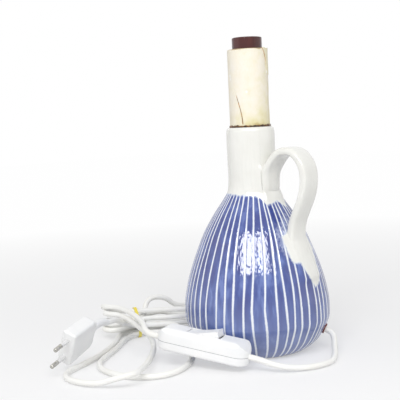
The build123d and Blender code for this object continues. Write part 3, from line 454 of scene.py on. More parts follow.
slip = mixed(tree, down_low, slip, hex_colour("7B8BBA"))

# %% Glaze: rubbed places and scratched lines
specks = grain(tree, 2.0, 4.0, (1, 1, 0.5))
thin = maths(tree, "MULTIPLY", rubbed, specks)
thin = mapped(tree, thin, 0.30, 0.75)
slip = mixed(tree, thin, slip, hex_colour("C2CBE6"))
halo = mapped(tree, scratch, 1.0, 2.1, 0.42, 0.0)
slip = mixed(tree, halo, slip, hex_colour("7C8CC0"))
shiver = mapped(tree, grain(tree, 2.2), to_start=-0.25, to_end=0.25)
wavered = maths(tree, "ADD", scratch, shiver)
line = mapped(tree, wavered, 0.75, 1.15, 1.0, 0.0)
body_colour = mixed(tree, line, slip, hex_colour("E9EDF4"))

# %% Glaze: the milky white and the edge where the blue stops
milky = toned(tree, grain(tree, 22), (0.3, "E6E5DF"), (0.7, "ECECE7"))
ragged = mapped(tree, grain(tree, 3.0, 4.0), to_start=-0.3, to_end=0.3)
ragged = maths(tree, "ADD", blue, ragged)
bleed = mapped(tree, ragged, 0.18, 0.5)
milky = mixed(tree, bleed, milky, hex_colour("BCC9E2"))
edge = mapped(tree, ragged, 0.30, 0.62)
glazed = mixed(tree, edge, milky, body_colour)
tree.links.new(glazed, shader.inputs["Base Color"])

# %% Glaze: its surface
# The melted glaze lies a little thicker in fine upright ridges, which break up a reflection.
RIDGE_MM, SWELL_MM = 2.3, 13.0
RIDGE_HIGH, SWELL_HIGH = 0.85, 0.5
ridges = grain(tree, RIDGE_MM, 1.0, (1, 1, 0.10))
ridges = maths(tree, "MULTIPLY", ridges, RIDGE_HIGH)
swells = grain(tree, SWELL_MM, 1.0)
surface = maths(tree, "MULTIPLY", swells, SWELL_HIGH)
surface = maths(tree, "ADD", surface, ridges)
bump(tree, shader, surface, 0.30, 1.0)

# %% [markdown]
# ## The thrown body
# The body was thrown on a wheel: a pear with a straight neck, hollow and even in its wall. It could be
# a spun curve with a screw modifier, but the scratched lines need points exactly along their edges.
# So the surface is one grid. Its rows follow the profile from the foot up the outside, over the lip
# and down the inside. Its columns follow the scratched lines, eleven columns to a line.

# %% Profile of the jug
# Heights and radii in millimetres, from the foot to just under the lip, and then pairs of a radius and
# a height for the lip, the inside and the ring that the jug stands on.
PROFILE_Z = (0, 4, 10, 20, 34, 50, 66, 82, 98, 114, 130, 142, 150, 156, 180, 204, 208)
PROFILE_R = (44.4, 51.0, 57.7, 64.1, 69.0, 68.6, 65.3, 60.3, 54.0, 46.9, 37.5, 29.2, 24.4, 23.2,
             22.8, 22.8, 22.5)
LIP = ((21.9, 209.8), (20.6, 210.8), (19.2, 210.9), (18.2, 210.0), (17.8, 208.0))
INSIDE = ((17.8, 180), (17.8, 152), (30, 130), (45, 104), (60, 68), (64, 42), (58, 18), (44, 8.0),
          (0.5, 8.0))
FOOT_RING = ((0.5, 3.0), (36.2, 3.0), (37.4, 2.2), (38.0, 0.0), (43.6, 0.0))
FIRST_ROW, ROW_STEP = 0.7, 1.9

outside_rows = int(PROFILE_Z[-1] / ROW_STEP) + 1
row_heights = np.linspace(FIRST_ROW, PROFILE_Z[-1], outside_rows)
row_radii = curve_through(PROFILE_Z, PROFILE_R, row_heights)
print(f"{outside_rows} rows up the outside, widest {row_radii.max():.1f} mm")

# %% [markdown]
# ## The scratched lines
# Each line was drawn freehand from the shoulder to the foot, so its spacing is uneven and it wavers.
# A table gives the lines' angles round the axis, at the foot, at the belly and at the shoulder, on
# the side that the photograph shows. A seeded generator spaces the others in the same loose way.

# %% Angles of the scratched lines
SEEN_LINES = (
    (-114.9, -114.9, -118), (-108.2, -108.2, -111.5), (-101.1, -101.1, -105.2), (-94.2, -93.7, -95),
    (-85.4, -83.8, -86.4), (-77.7, -76.7, -78.7), (-70.4, -70, -70), (-62.3, -61.6, -60.1),
    (-53.8, -55.6, -50.6), (-44, -45.6, -40.9), (-36.4, -36.5, -32.9), (-28.2, -29.5, -28.4),
    (-22.6, -22.5, -18.3), (-15.6, -16.7, -11.5), (-8.6, -8.8, -4.8), (-0.5, -0.1, 4.6),
    (5.6, 5.3, 11.9), (11.4, 11.1, 19.5), (18.6, 18.8, 27),
)
LINE_HEIGHTS = (14.0, 50.0, 145.0)
HIDDEN_FIRST, HIDDEN_LAST = 26.5, 237.8
HIDDEN_START, HIDDEN_STOP, HIDDEN_GAPS = 27.0, 237.5, (6.6, 9.6)
FOOT_DRIFT, SHOULDER_DRIFT = 0.7, 1.5
chance = np.random.default_rng(7)

# %% The lines on the far side
# They are spaced by chance first, and then stretched to fit the room between the seen ones.
hidden = [HIDDEN_START]
while hidden[-1] < HIDDEN_STOP:
    hidden.append(hidden[-1] + chance.uniform(*HIDDEN_GAPS))
hidden = np.interp(hidden, (hidden[0], hidden[-1]), (HIDDEN_FIRST, HIDDEN_LAST))
lines = [list(line) for line in SEEN_LINES]
lines += [[a + chance.uniform(-FOOT_DRIFT, FOOT_DRIFT), a,
           a + chance.uniform(-SHOULDER_DRIFT, SHOULDER_DRIFT)] for a in hidden]
lines = np.array(lines)
print(len(lines), "scratched lines")

# %% Where each line runs, and how wide it is
# The hand wavered, and it pressed unevenly, so a line's width swells and shrinks along it.
WAVERS = ((90, 0.25), (37, 0.08))
WIDTH_HEIGHTS = (0, 20, 60, 110, 150)
HALF_WIDTHS = (0.85, 0.95, 0.92, 0.72, 0.55)
UNEVEN = 0.16
heights = row_heights[:, None]
centre = np.stack([np.interp(row_heights, LINE_HEIGHTS, line) for line in lines], axis=1)
phase = chance.uniform(0, 2 * np.pi, (2, len(lines)))
for wave, (length_mm, swing_deg) in enumerate(WAVERS):
    centre += swing_deg * np.sin(2 * np.pi * heights / length_mm + phase[wave])
half_mm = np.interp(row_heights, WIDTH_HEIGHTS, HALF_WIDTHS)[:, None]
presses = np.sin(heights / 9.0 + phase[0]), np.sin(heights / 23.0 + phase[1])
half_mm = half_mm * (1 + UNEVEN * presses[0] * presses[1])
half_deg = np.degrees(half_mm / row_radii[:, None])

# %% Columns of the jug
# Offsets across one line in half line widths, then the columns that lie evenly between two lines.
ACROSS_LINE = np.array((-2.2, -1.2, -0.85, -0.4, 0.4, 0.85, 1.2, 2.2))
PANEL_COLUMNS = 3
# What the scratch attribute holds where no line is near.
FAR_FROM_LINE = 4.0
following = np.concatenate([centre[:, 1:], centre[:, :1] + 360], axis=1)
columns, scratch = [], []
for line in range(len(lines)):
    for share in ACROSS_LINE:
        columns.append(centre[:, line] + share * half_deg[:, line])
        scratch.append(np.full(outside_rows, abs(share)))
    start = centre[:, line] + ACROSS_LINE[-1] * half_deg[:, line]
    end = following[:, line] - ACROSS_LINE[-1] * half_deg[:, (line + 1) % len(lines)]
    for share in np.linspace(0, 1, PANEL_COLUMNS + 2)[1:-1]:
        columns.append(start + share * (end - start))
        scratch.append(np.full(outside_rows, FAR_FROM_LINE))
angles = np.stack(columns, axis=1)
scratch = np.stack(scratch, axis=1)
print("columns round the jug:", angles.shape[1])

# %% [markdown]
# ## Where the blue stops
# The blue was brushed on last, up to the neck and round the handle's lower root, so its edge is
# ragged. The edge is a table of heights round the neck, and a bare patch under the handle is an
# outline on the surface. The attribute is the distance inside the blue, so the shader can blur it.

# %% Blue and bare areas
EDGE_AT = ((-180, 148.2), (-118, 148.6), (-95, 148.2), (-60, 147.6), (-50.6, 146.9), (-40.9, 146.1),
           (-32.9, 142.7), (-28.4, 138.4), (-18.3, 139.2), (-10, 140.6), (-4.8, 141.6), (4.6, 138.1),
           (11.9, 134.6), (22, 139), (30, 144), (50, 148), (100, 147.5), (180, 148.2))
BARE_PATCH = ((0.3, 123.3), (-12.1, 115.5), (-21.6, 111.2), (-21, 104.6), (-18.7, 97.2), (-17.5, 89.9),
              (-14.9, 86.7), (-9, 86.6), (-7.1, 81.2), (-4.8, 76.5), (-2.5, 71.7), (0.1, 66.8), (3.4, 62.8),
              (8.9, 65), (17.7, 72.4), (19.4, 84.5), (25, 95.6), (25, 105.9), (17, 114), (10, 120))
BLUR_MM = 5.0
# The patch is laid out on a cylinder as wide as the belly is beside it.
BELLY_RADIUS = 56.0


# %% Distances on a surface that is laid out flat
def line_distance(across, up, line):
    """Distance from points to an open line."""
    nearest = np.full(across.shape, np.inf)
    for (x0, y0), (x1, y1) in zip(line, line[1:]):
        run, rise = x1 - x0, y1 - y0
        share = np.clip(((across - x0) * run + (up - y0) * rise) / (run * run + rise * rise), 0, 1)
        nearest = np.minimum(nearest, np.hypot(across - x0 - share * run, up - y0 - share * rise))
    return nearest


def outline_distance(across, up, outline):
    """Distance from points to a closed outline, negative inside it."""
    closed = [*outline, outline[0]]
    inside = np.zeros(across.shape, bool)
    for (x0, y0), (x1, y1) in zip(closed, closed[1:]):
        crosses = (y0 > up) != (y1 > up)
        inside ^= crosses & (across < x0 + (up - y0) / (y1 - y0 or 1e-9) * (x1 - x0))
    nearest = line_distance(across, up, closed)
    return np.where(inside, -nearest, nearest)


# %% How far inside the blue each point is
around = (angles + 180) % 360 - 180
edge_height = np.interp(around, *zip(*EDGE_AT))
patch = [(math.radians(a) * BELLY_RADIUS, z) for a, z in BARE_PATCH]
flat_height = np.broadcast_to(heights, around.shape)
bare = outline_distance(np.radians(around) * BELLY_RADIUS, flat_height, patch)
blue = np.clip(0.5 + np.minimum(edge_height - heights, bare) / BLUR_MM, 0, 1)

# %% Where the blue was rubbed thin
# Round the bare patch and up to the shoulder, where a hand smoothed the handle's root.
RUBBED_MM = 11.0
beside = bell(around, -14, 17) * ramp(heights, 92, 106)
rubbed = np.clip(1.15 - bare / RUBBED_MM, 0, 1) * ramp(heights, 84, 96)
rubbed = np.clip(0.8 * rubbed + 0.45 * beside, 0, 1)

# %% Wall of the jug
# The groove is pressed in where there is blue, a slow swell keeps the wall from being lathe-true,
# and clay smoothed round the handle's two roots thickens it there.
GROOVE_MM, OUT_OF_TRUE_MM, TURNING_MM = 0.30, 0.22, 0.04
# Half width of each root, its lowest and highest point, its thickness and how far that spreads.
ROOTS = ((11.5, 146.0, 172.0, 2.6, 3.0), (10.5, 72.0, 108.0, 2.0, 2.6))
groove = GROOVE_MM * np.clip(1.25 - scratch, 0, 1) * (blue > 0.3)
turned = np.radians(angles)
swell = OUT_OF_TRUE_MM * np.sin(heights / 17 + 2 * turned) * ramp(heights, 0, 30) * (heights < 196)
swell = swell + TURNING_MM * np.sin(heights / 5.2) * (heights > 10) * (heights < 200)
across = row_radii[:, None] * np.sin(turned)
on_handle_side = np.cos(turned) > 0
for half_wide, low, high, thick, spread in ROOTS:
    beyond = np.maximum(low - heights, heights - high)
    off = np.hypot(np.clip(np.abs(across) - half_wide, 0, None), np.clip(beyond, 0, None))
    swell = swell + thick * np.exp(-off / spread) * on_handle_side
radii = row_radii[:, None] + swell - groove


# %% Mesh of the jug
def jug_ring(radius, height):
    """One ring of points at the jug's column angles there."""
    row = np.argmin(np.abs(row_heights - height))
    return round_axis(radius, turned[row], height)


rings = [jug_ring(r, z) for r, z in FOOT_RING]
rings += list(round_axis(radii, turned, heights))
rings += [jug_ring(r, z) for r, z in LIP + INSIDE]
before, after = len(FOOT_RING), len(LIP) + len(INSIDE)
pad = [(before, after), (0, 0)]
count = angles.shape[1]
faces = grid_faces(len(rings), count)
faces.append(tuple(reversed(range(count))))
last = (len(rings) - 1) * count
faces.append(tuple(range(last, last + count)))
jug = make_piece("thrown_jug", np.concatenate(rings), faces, glaze, {
    "scratch": np.pad(scratch, pad, constant_values=FAR_FROM_LINE).ravel(),
    "rubbed": np.pad(rubbed, pad).ravel(),
    "blue": np.pad(blue, pad).ravel()})
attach(jug, "lamp")
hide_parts("jug_body")
print("faces of the jug:", len(faces))

# %% [markdown]
# ## The pulled handle
# The handle is a strap of clay that was pulled by hand, bent over and pressed on at both ends. Where
# it meets the neck it flares, and where it meets the belly the potter smeared it down with a thumb.
# A curve with a bevel can't change its width and its thickness apart, so the strap is a grid too:
# each row is a rounded section, and a table gives its place, width, thickness and height.

# %% Handle strap
# Distance from the axis, height, width, thickness of each section, neck to belly.
STRAP = (
    (20.4, 143, 25, 4.0), (22.3, 147, 28, 6.5), (23.6, 154, 27.5, 8.0), (24.2, 163, 26, 8.2),
    (26.2, 171.5, 25, 8.2), (30.0, 179.3, 24.2, 8.3), (35.4, 185, 23.6, 8.4), (42.2, 187.8, 23, 8.5),
    (49.4, 187.7, 22.8, 8.5), (55.8, 184.7, 22.8, 8.5), (61.2, 178.6, 22.8, 8.5), (64.3, 171.3, 22.8, 8.5),
    (65.0, 163, 22.8, 8.5), (63.6, 152, 22.8, 8.5), (60.1, 142, 22.8, 8.5), (55.6, 133, 22.8, 8.5),
    (51.6, 124.5, 22.6, 8.6), (49.4, 116, 22.6, 8.8), (49.2, 108, 23.4, 9.0), (51.0, 100, 25.5, 9.2),
    (54.0, 92.5, 26, 8.2), (57.6, 84.5, 23, 5.4), (60.4, 77.0, 19, 3.0), (62.3, 70, 14, 1.0),
)
SECTION_POINTS = 48
STRAP_ROWS = 170
SECTION_POWER = 3.4
SMOOTH_ROUNDS = 3

table = np.array(STRAP, float)
runs = np.concatenate([[0], np.cumsum(np.linalg.norm(np.diff(table[:, :2], axis=0), axis=1))])
along = np.linspace(0, runs[-1], STRAP_ROWS)
rho, up, wide, thick = (curve_through(runs, table[:, k], along) for k in range(4))
for _ in range(SMOOTH_ROUNDS):
    rho[1:-1] = (rho[:-2] + 2 * rho[1:-1] + rho[2:]) / 4
    up[1:-1] = (up[:-2] + 2 * up[1:-1] + up[2:]) / 4
way = np.stack([np.gradient(rho, along), np.gradient(up, along)], axis=1)
way /= np.linalg.norm(way, axis=1)[:, None]
outward = np.stack([-way[:, 1], way[:, 0]], axis=1)
print(f"handle: {along[-1]:.0f} mm of strap")

# %% How the strap's ends hug the jug
# Near its roots the strap is pressed on, so its sides fall back with the round wall under it: fully
# at the neck below 166 mm and on the belly below 100 mm, and not at all on the free arch.
NECK_HUG, BELLY_HUG = (182.0, 166.0), (116.0, 100.0)
NECK_SHARE, NECK_RADIUS = 0.3, 23.0
on_neck = along < NECK_SHARE * along[-1]
hug = np.where(on_neck, ramp(up, *NECK_HUG), ramp(up, *BELLY_HUG))
hug = hug * hug * (3 - 2 * hug)
wall_round = np.where(on_neck, NECK_RADIUS, BELLY_RADIUS)

# %% Sections of the strap
DISH_MM, THUMB_MM = 0.5, 2.2


def strap_section(k):
    """Rounded section of the strap at row k, hollowed a little on both faces, with a thumb's dent."""
    turn = np.linspace(0, 2 * np.pi, SECTION_POINTS, endpoint=False)
    side = np.sign(np.cos(turn)) * np.abs(np.cos(turn)) ** (2 / SECTION_POWER)
    face = np.sign(np.sin(turn)) * np.abs(np.sin(turn)) ** (2 / SECTION_POWER)
    share = along[k] / along[-1]
    across = side * wide[k] / 2 + 0.25 * math.sin(along[k] / 19.0) + 0.15 * math.sin(along[k] / 7.3 + 1)
    dish = DISH_MM * (1 - side ** 2) * bell(share, 0.45, 0.35)
    thumb = THUMB_MM * bell(up[k], 94.5, 3.4) * bell(across, -9.6, 2.0) * (not on_neck[k])
    reach = face * thick[k] / 2 - np.sign(face) * dish - np.clip(face, 0, 1) * thumb
    fall = wall_round[k] - np.sqrt(wall_round[k] ** 2 - across ** 2)
    return np.stack([rho[k] + outward[k, 0] * reach - hug[k] * fall, across,
                     up[k] + outward[k, 1] * reach], axis=1)


# %% Mesh of the strap
points = np.concatenate([strap_section(k) for k in range(STRAP_ROWS)])
faces = [tuple(reversed(f)) for f in grid_faces(STRAP_ROWS, SECTION_POINTS)]
faces.append(tuple(range(SECTION_POINTS)))
last = (STRAP_ROWS - 1) * SECTION_POINTS
faces.append(tuple(reversed(range(last, last + SECTION_POINTS))))
handle = make_piece("pulled_handle", points, faces, glaze, {
    "scratch": np.full(len(points), FAR_FROM_LINE), "blue": np.zeros(len(points)),
    "rubbed": np.zeros(len(points))})
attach(handle, "lamp")
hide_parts("jug_handle")
print("points of the handle:", len(points))

# %% [markdown]
# ## Paper on the neck
# The pale tube above the jug is card, wrapped in paper that has aged. It has yellowed from below,
# a slanting tear lets brown paste through, and its upper edge isn't quite level. The wrap is a thin
# shell with those shapes in it. The stains are painted by vertex attributes, which travel with the
# mesh: one for the tear and one for the age, both broken up by noise in the material, and one for
# the pale flakes in its small dents.

# %% Aged paper material
# Wrapping paper gone cream: matt, faintly fibrous, yellow where the paste has come through.
paper, tree, shader = new_material("aged_wrapping_paper", Roughness=0.78)
age = painted(tree, "age")
tear = painted(tree, "tear")
cloud = mapped(tree, grain(tree, 9, 4.0), 0.2, 0.8, -0.28, 0.28)
aged = maths(tree, "ADD", age, cloud)
tint = toned(tree, aged, (0.0, "F2EDE2"), (0.30, "F1EAD9"), (0.55, "EAE3C5"), (0.80, "E0D7AA"),
             (1.0, "C9B37C"))
fibres = grain(tree, 1.1, 5.0, (1, 1, 0.35))
felt = mapped(tree, fibres, 0.45, 0.75, 0.0, 0.14)
tint = mixed(tree, felt, tint, hex_colour("E2D7B4"))
fray = mapped(tree, grain(tree, 1.6, 4.0), to_start=-0.25, to_end=0.25)
frayed = maths(tree, "ADD", tear, fray)
torn = mapped(tree, frayed, 0.45, 0.9)
paste = toned(tree, grain(tree, 4.0), (0.35, "C08A48"), (0.65, "7C6242"))
tint = mixed(tree, torn, tint, paste)
flake = painted(tree, "flake")
tint = mixed(tree, flake, tint, hex_colour("FBFAF5"))
tree.links.new(tint, shader.inputs["Base Color"])
bump(tree, shader, fibres, 0.12, 0.5)

# %% Shape of the wrap
SLEEVE_LOW, SLEEVE_HIGH = 211.2, 282.6
SLEEVE_RADIUS, SLEEVE_WALL = 18.72, 0.45
# Points of the tear as an angle and a height, dents with their size and depth, flakes with their size.
TEAR = ((-98.1, 246.5), (-90.7, 241.0), (-84.3, 234.5), (-77.4, 226.7), (-73.9, 220.8), (-71.8, 214.0))
DENTS = ((-115.5, 256.8, 2.2, 0.45), (-57.5, 243.2, 2.0, 0.30), (-60.0, 246.6, 1.8, -0.25),
         (40, 236, 6, 0.3), (120, 262, 8, 0.35), (-170, 230, 7, 0.3), (165, 250, 5, -0.2))
FLAKES = ((-115.5, 258.6, 1.5), (-115.0, 255.9, 1.2), (-57.5, 243.4, 1.1))

# %% Grid of the wrap
# Its upper edge waves, with a nick, and each point knows how far round the sleeve and how high it is.
NICK_MM = 0.9
columns, rows_up = 300, 110
a = np.radians(np.linspace(-180, 180, columns, endpoint=False))[None, :]
top_edge = SLEEVE_HIGH + 0.35 * np.sin(2 * a + 1.0) + 0.2 * np.sin(5 * a)
top_edge = top_edge - NICK_MM * bell(a, -0.25, 0.12)
share = np.linspace(0, 1, rows_up)[:, None]
z = SLEEVE_LOW + share * (top_edge - SLEEVE_LOW)
arc = np.broadcast_to(a * SLEEVE_RADIUS, z.shape)


def from_spot(angle, height):
    """How far each point of the wrap is from a spot on it."""
    return np.hypot(arc - math.radians(angle) * SLEEVE_RADIUS, z - height)


# %% Relief of the wrap
# The tear is a groove with a raised border, and the paper isn't quite round and has small dents.
TEAR_DEEP, TEAR_PROUD = 0.32, 0.14
tear_line = [(math.radians(angle) * SLEEVE_RADIUS, height) for angle, height in TEAR]
tear_off = line_distance(arc, z, tear_line)
width = np.interp(z, (214, 238, 247), (0.52, 0.40, 0.20))
r = SLEEVE_RADIUS + 0.10 * np.sin(3 * a + z / 31) + 0.05 * np.sin(7 * a - z / 12)
r = r - TEAR_DEEP * bell(tear_off, 0, width) + TEAR_PROUD * bell(tear_off, 1.2, 0.7)
for angle, height, size, depth in DENTS:
    r = r - depth * bell(from_spot(angle, height), 0, size)

# %% Stains of the wrap
# It has yellowed low down and on one side, most along its lower edge and a little along the upper
# one, and in one place a stain has crept up. The inner wall is the same all over.
INSIDE_AGE = 0.5
flake = np.zeros_like(z)
for angle, height, size in FLAKES:
    flake = np.maximum(flake, np.exp(-(from_spot(angle, height) / size) ** 4))
tear = bell(tear_off, 0, 1.5 * width) * ramp(z, 249, 239)
side = np.cos(a - math.radians(20))
age = 0.18 + 0.30 * ramp(z, 240, 214) * np.clip(0.5 + side, 0, 1) + 0.17 * np.clip(side, 0, 1)
age = age + 0.28 * bell(z, 211, 5.0) + 0.10 * bell(z, 282, 4.0)
age = age + 0.2 * bell(z, 220, 6) * bell(a, -1.6, 0.35)

# %% Mesh of the wrap
# Outer wall upwards, inner wall downwards, closed over both edges.
outer = round_axis(r, a, z).reshape(-1, 3)
inner = round_axis(SLEEVE_RADIUS - SLEEVE_WALL, a, z[::-1]).reshape(-1, 3)
faces = grid_faces(2 * rows_up, columns, round_rows=True)
wrap = make_piece("paper_wrap_aged", np.concatenate([outer, inner]), faces, paper, {
    "tear": np.concatenate([tear.ravel(), np.zeros(tear.size)]),
    "flake": np.concatenate([flake.ravel(), np.zeros(flake.size)]),
    "age": np.concatenate([age.ravel(), np.full(age.size, INSIDE_AGE)])})
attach(wrap, "lamp")
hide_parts("paper_wrap")
print("faces of the wrap:", len(faces))

# %% [markdown]
# ## Torn strip of tape
# A strip of old tape closes the paper's seam near the top. One of its edges is torn and has lifted, so
# it shows as a ragged step with a small chip of bare paper at its lower end. It's a thin shell whose
# torn edge comes from a table, cut out of the same cylinder a little further out.

# %% Tape
# Yellowed adhesive film over paper: a touch glossier than the wrap, darker at its torn edge.
tape, tree, shader = new_material("old_paper_tape", Roughness=0.5)
edge_dark = painted(tree, "edge")
chip = painted(tree, "chip")
film = toned(tree, grain(tree, 7), (0.3, "EEE8CF"), (0.7, "E5DDBA"))
film = mixed(tree, chip, film, hex_colour("FBFAF5"))
fray = mapped(tree, grain(tree, 2.0, 4.0), to_start=-0.3, to_end=0.3)
frayed = maths(tree, "ADD", edge_dark, fray)
frayed = mapped(tree, frayed, 0.5, 0.9)
film = mixed(tree, frayed, film, hex_colour("C4935A"))
tree.links.new(film, shader.inputs["Base Color"])
wrinkles = grain(tree, 1.3, 4.0, (1, 1, 0.4))
bump(tree, shader, wrinkles, 0.08, 0.5)

# %% Shape of the tape
# Heights and angles of its torn edge, and the angle of its straight one.
TAPE_LEFT = ((258.6, 17.0), (260.0, 13.5), (261.0, 10.8), (263.0, 11.9), (266, 10.4), (269, 9.2),
             (272.0, 8.4), (276.4, 5.4), (279, 2.0), (281.0, -1.0), (283.4, -7.0))
TAPE_RIGHT, TAPE_LOW, TAPE_HIGH = 37.5, 258.9, 283.4
TAPE_RADIUS, TAPE_THICK, TAPE_LIFT = 19.08, 0.28, 0.16
rows_up, columns = 50, 24
z = np.linspace(TAPE_LOW, TAPE_HIGH, rows_up)[:, None]
left = np.interp(z, *zip(*TAPE_LEFT)) + 0.5 * np.sin(z * 2.3) + 0.35 * np.sin(z * 5.1)
share = np.linspace(0, 1, columns)[None, :]
a = np.radians(left + share * (TAPE_RIGHT - left))
lift = TAPE_LIFT * bell(share, 0, 0.10)
bend = TAPE_RADIUS - 0.06 * np.sin(z / 5 + 3 * share)
z = z + 0.3 * np.sin(share * 9) * (z > TAPE_HIGH - 1)
outer = round_axis(bend + lift, a, z).reshape(-1, 3)
inner = round_axis(bend - TAPE_THICK, a, z).reshape(-1, 3)

# %% Mesh of the tape
# A front, a back and a band round the rim. It's browned along the torn edge, with the chip low down.
count = rows_up * columns
front = grid_faces(rows_up, columns, round_columns=False)
back = [tuple(reversed([i + count for i in f])) for f in front]
rim = [i * columns for i in range(rows_up)] + [count - columns + j for j in range(1, columns)]
rim += [i * columns + columns - 1 for i in range(rows_up - 2, -1, -1)] + list(range(columns - 2, 0, -1))
band = [(i, j, j + count, i + count) for i, j in zip(rim, rim[1:] + rim[:1])]
browned = bell(share, 0, 0.045) * np.interp(z, (262, 267, 274, 280), (0.0, 0.45, 0.80, 1.0))
chipped = bell(z, 261, 1.7) * bell(np.degrees(a), 12, 4.5)
strip = make_piece("torn_tape", np.concatenate([outer, inner]), front + back + band, tape, {
    "edge": np.tile(browned.ravel(), 2), "chip": np.tile(chipped.ravel(), 2)})
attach(strip, "lamp")
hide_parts("seam_tape")
print("points of the tape:", 2 * count)

# %% [markdown]
# ## Line of old glue
# Where the paper meets the jug's lip there is a bead of brown glue. It was squeezed out by hand, so
# its thickness changes all the way round. It's a small ring whose section swells and shrinks.

# %% Glue
# Animal glue gone brown: hard and satin, nearly black in some patches and amber in others.
glue, tree, shader = new_material("old_brown_glue", Roughness=0.35, IOR=1.5)
amber = toned(tree, grain(tree, 2.6, 4.0), (0.35, "2A1B13"), (0.52, "5A3C20"), (0.62, "8E5F2A"),
              (0.72, "C58A3C"))
tree.links.new(amber, shader.inputs["Base Color"])
bump(tree, shader, grain(tree, 1.0, 4.0), 0.2, 0.6)

# %% Shape of the glue
GLUE_RADIUS, GLUE_HEIGHT = 18.85, 211.75
around_count, section_count = 240, 10
a = np.linspace(0, 2 * np.pi, around_count, endpoint=False)[:, None]
section = np.linspace(0, 2 * np.pi, section_count, endpoint=False)[None, :]
fat = 0.64 + 0.14 * np.sin(3 * a + 1) + 0.10 * np.sin(11 * a) + 0.12 * np.sin(29 * a + 2)
ring_r = GLUE_RADIUS + fat * np.cos(section)
ring_z = GLUE_HEIGHT + (0.85 + 0.35 * np.sin(7 * a) ** 2) * np.sin(section) * fat * 1.5
points = round_axis(ring_r, a, ring_z).reshape(-1, 3)
bead = make_piece("glue_line", points, grid_faces(around_count, section_count, round_rows=True), glue)
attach(bead, "lamp")
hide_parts("glue_bead")
print(f"glue: {2 * fat.min():.1f} to {2 * fat.max():.1f} mm thick")

# %% [markdown]
# ## The lampholder
# A small screw-cap holder made of phenolic plastic stands in the top of the card tube. Its dark
# red-brown shell was pressed in a mould, so it is smooth, with faint flow marks.
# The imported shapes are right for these, so they keep their meshes and get materials.

# %% Phenolic plastic
# Compression-moulded phenolic: a deep red-brown, glossy enough to mirror the lights softly.
phenolic, tree, shader = new_material("moulded_phenolic", IOR=1.52)
flow = toned(tree, grain(tree, 11, 4.0, (1, 1, 0.3)), (0.3, "3C1110"), (0.55, "4A1816"), (0.75, "5A241E"))
dulled = mapped(tree, grain(tree, 3, 4.0), 0.3, 0.7, 0.14, 0.24)
bump(tree, shader, grain(tree, 2.2), 0.02, 0.4)
tree.links.new(flow, shader.inputs["Base Color"])
tree.links.new(dulled, shader.inputs["Roughness"])
for node in ("holder_shell", "holder_cap"):
    give(node, phenolic)

# %% Porcelain
# Steatite insert: white, fine and only half glazed.
porcelain, tree, shader = new_material("steatite_insert", Roughness=0.4, IOR=1.5)
cream = toned(tree, grain(tree, 4), (0.3, "DCD7CA"), (0.7, "E9E5DA"))
bump(tree, shader, grain(tree, 1.2), 0.05, 0.4)
tree.links.new(cream, shader.inputs["Base Color"])
give("holder_insert", porcelain)


# %% Metals
def metal(name, dark, light, roughness, grain_mm=2.0):
    """Metal whose colour and gloss wander between two hex colours."""
    material, tree, shader = new_material(name, Metallic=1.0)
    spots = grain(tree, grain_mm, 4.0)
    tone = toned(tree, spots, (0.3, dark), (0.7, light))
    gloss = mapped(tree, spots, 0.2, 0.8, roughness - 0.08, roughness + 0.1)
    fine = grain(tree, grain_mm / 3)
    bump(tree, shader, fine, 0.03, 0.4)
    tree.links.new(tone, shader.inputs["Base Color"])
    tree.links.new(gloss, shader.inputs["Roughness"])
    return material


# Spun brass, dulled by heat; zinc-plated steel screws; bright nickel on the plug's pins.
brass = metal("spun_brass", "9C7B3E", "C9A766", 0.34)
steel = metal("zinc_plated_steel", "8E9093", "B9BBBE", 0.36)
nickel = metal("nickel_plated_brass", "A9A7A1", "D2D0CA", 0.22)
for node in ("tongue_foot", "contact_tongue", "contact_bridge", "fixed_contacts", "neutral_bar"):
    give(node, brass)
for node in ("threaded_stem", "stem_washers", "stem_nuts", "holder_set_screw", "holder_terminal_screws",
             "rocker_pin", "switch_screws"):
    give(node, steel)
give("plug_pins", nickel)

# %% [markdown]
# ## The threaded socket
# The brass shell inside the holder has a rolled thread that the lamp's cap screws into. A thread
# follows a rule, so Geometry Nodes make it: a grid is rolled into a tube, and each point moves in or
# out by a wave that climbs one pitch with every turn. Its sizes are inputs of the tree. It stays
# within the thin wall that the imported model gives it.

# %% Geometry Nodes helpers
def new_tree(name, sizes):
    """Geometry node tree with a named input for each size; returns it with its inputs' sockets."""
    tree = bpy.data.node_groups.new(name, "GeometryNodeTree")
    for label, value in sizes.items():
        kind = "NodeSocketInt" if isinstance(value, int) else "NodeSocketFloat"
        tree.interface.new_socket(label, in_out="INPUT", socket_type=kind).default_value = value
    tree.interface.new_socket("Geometry", in_out="OUTPUT", socket_type="NodeSocketGeometry")
    return tree, add(tree, "NodeGroupInput", output=None).outputs


def close_tree(tree, geometry, material):
    """Ends a tree in real geometry that has its material."""
    real = add(tree, "GeometryNodeRealizeInstances", {"Geometry": geometry})
    dressed = add(tree, "GeometryNodeSetMaterial", {"Geometry": real, "Material": material})
    add(tree, "NodeGroupOutput", {"Geometry": dressed}, output=None)


def made_by(tree, name, sizes):
    """Plain mesh object made by a tree, with its inputs set by the sockets' identifiers."""
    holder = new_object(name + "_maker", bpy.data.meshes.new(name))
    modifier = holder.modifiers.new("maker", "NODES")
    modifier.node_group = tree
    for item in tree.interface.items_tree:
        if item.in_out == "INPUT" and item.name in sizes:
            modifier[item.identifier] = sizes[item.name]
    mesh = plain_mesh(holder)
    mesh.name = name
    return new_object(name, mesh)


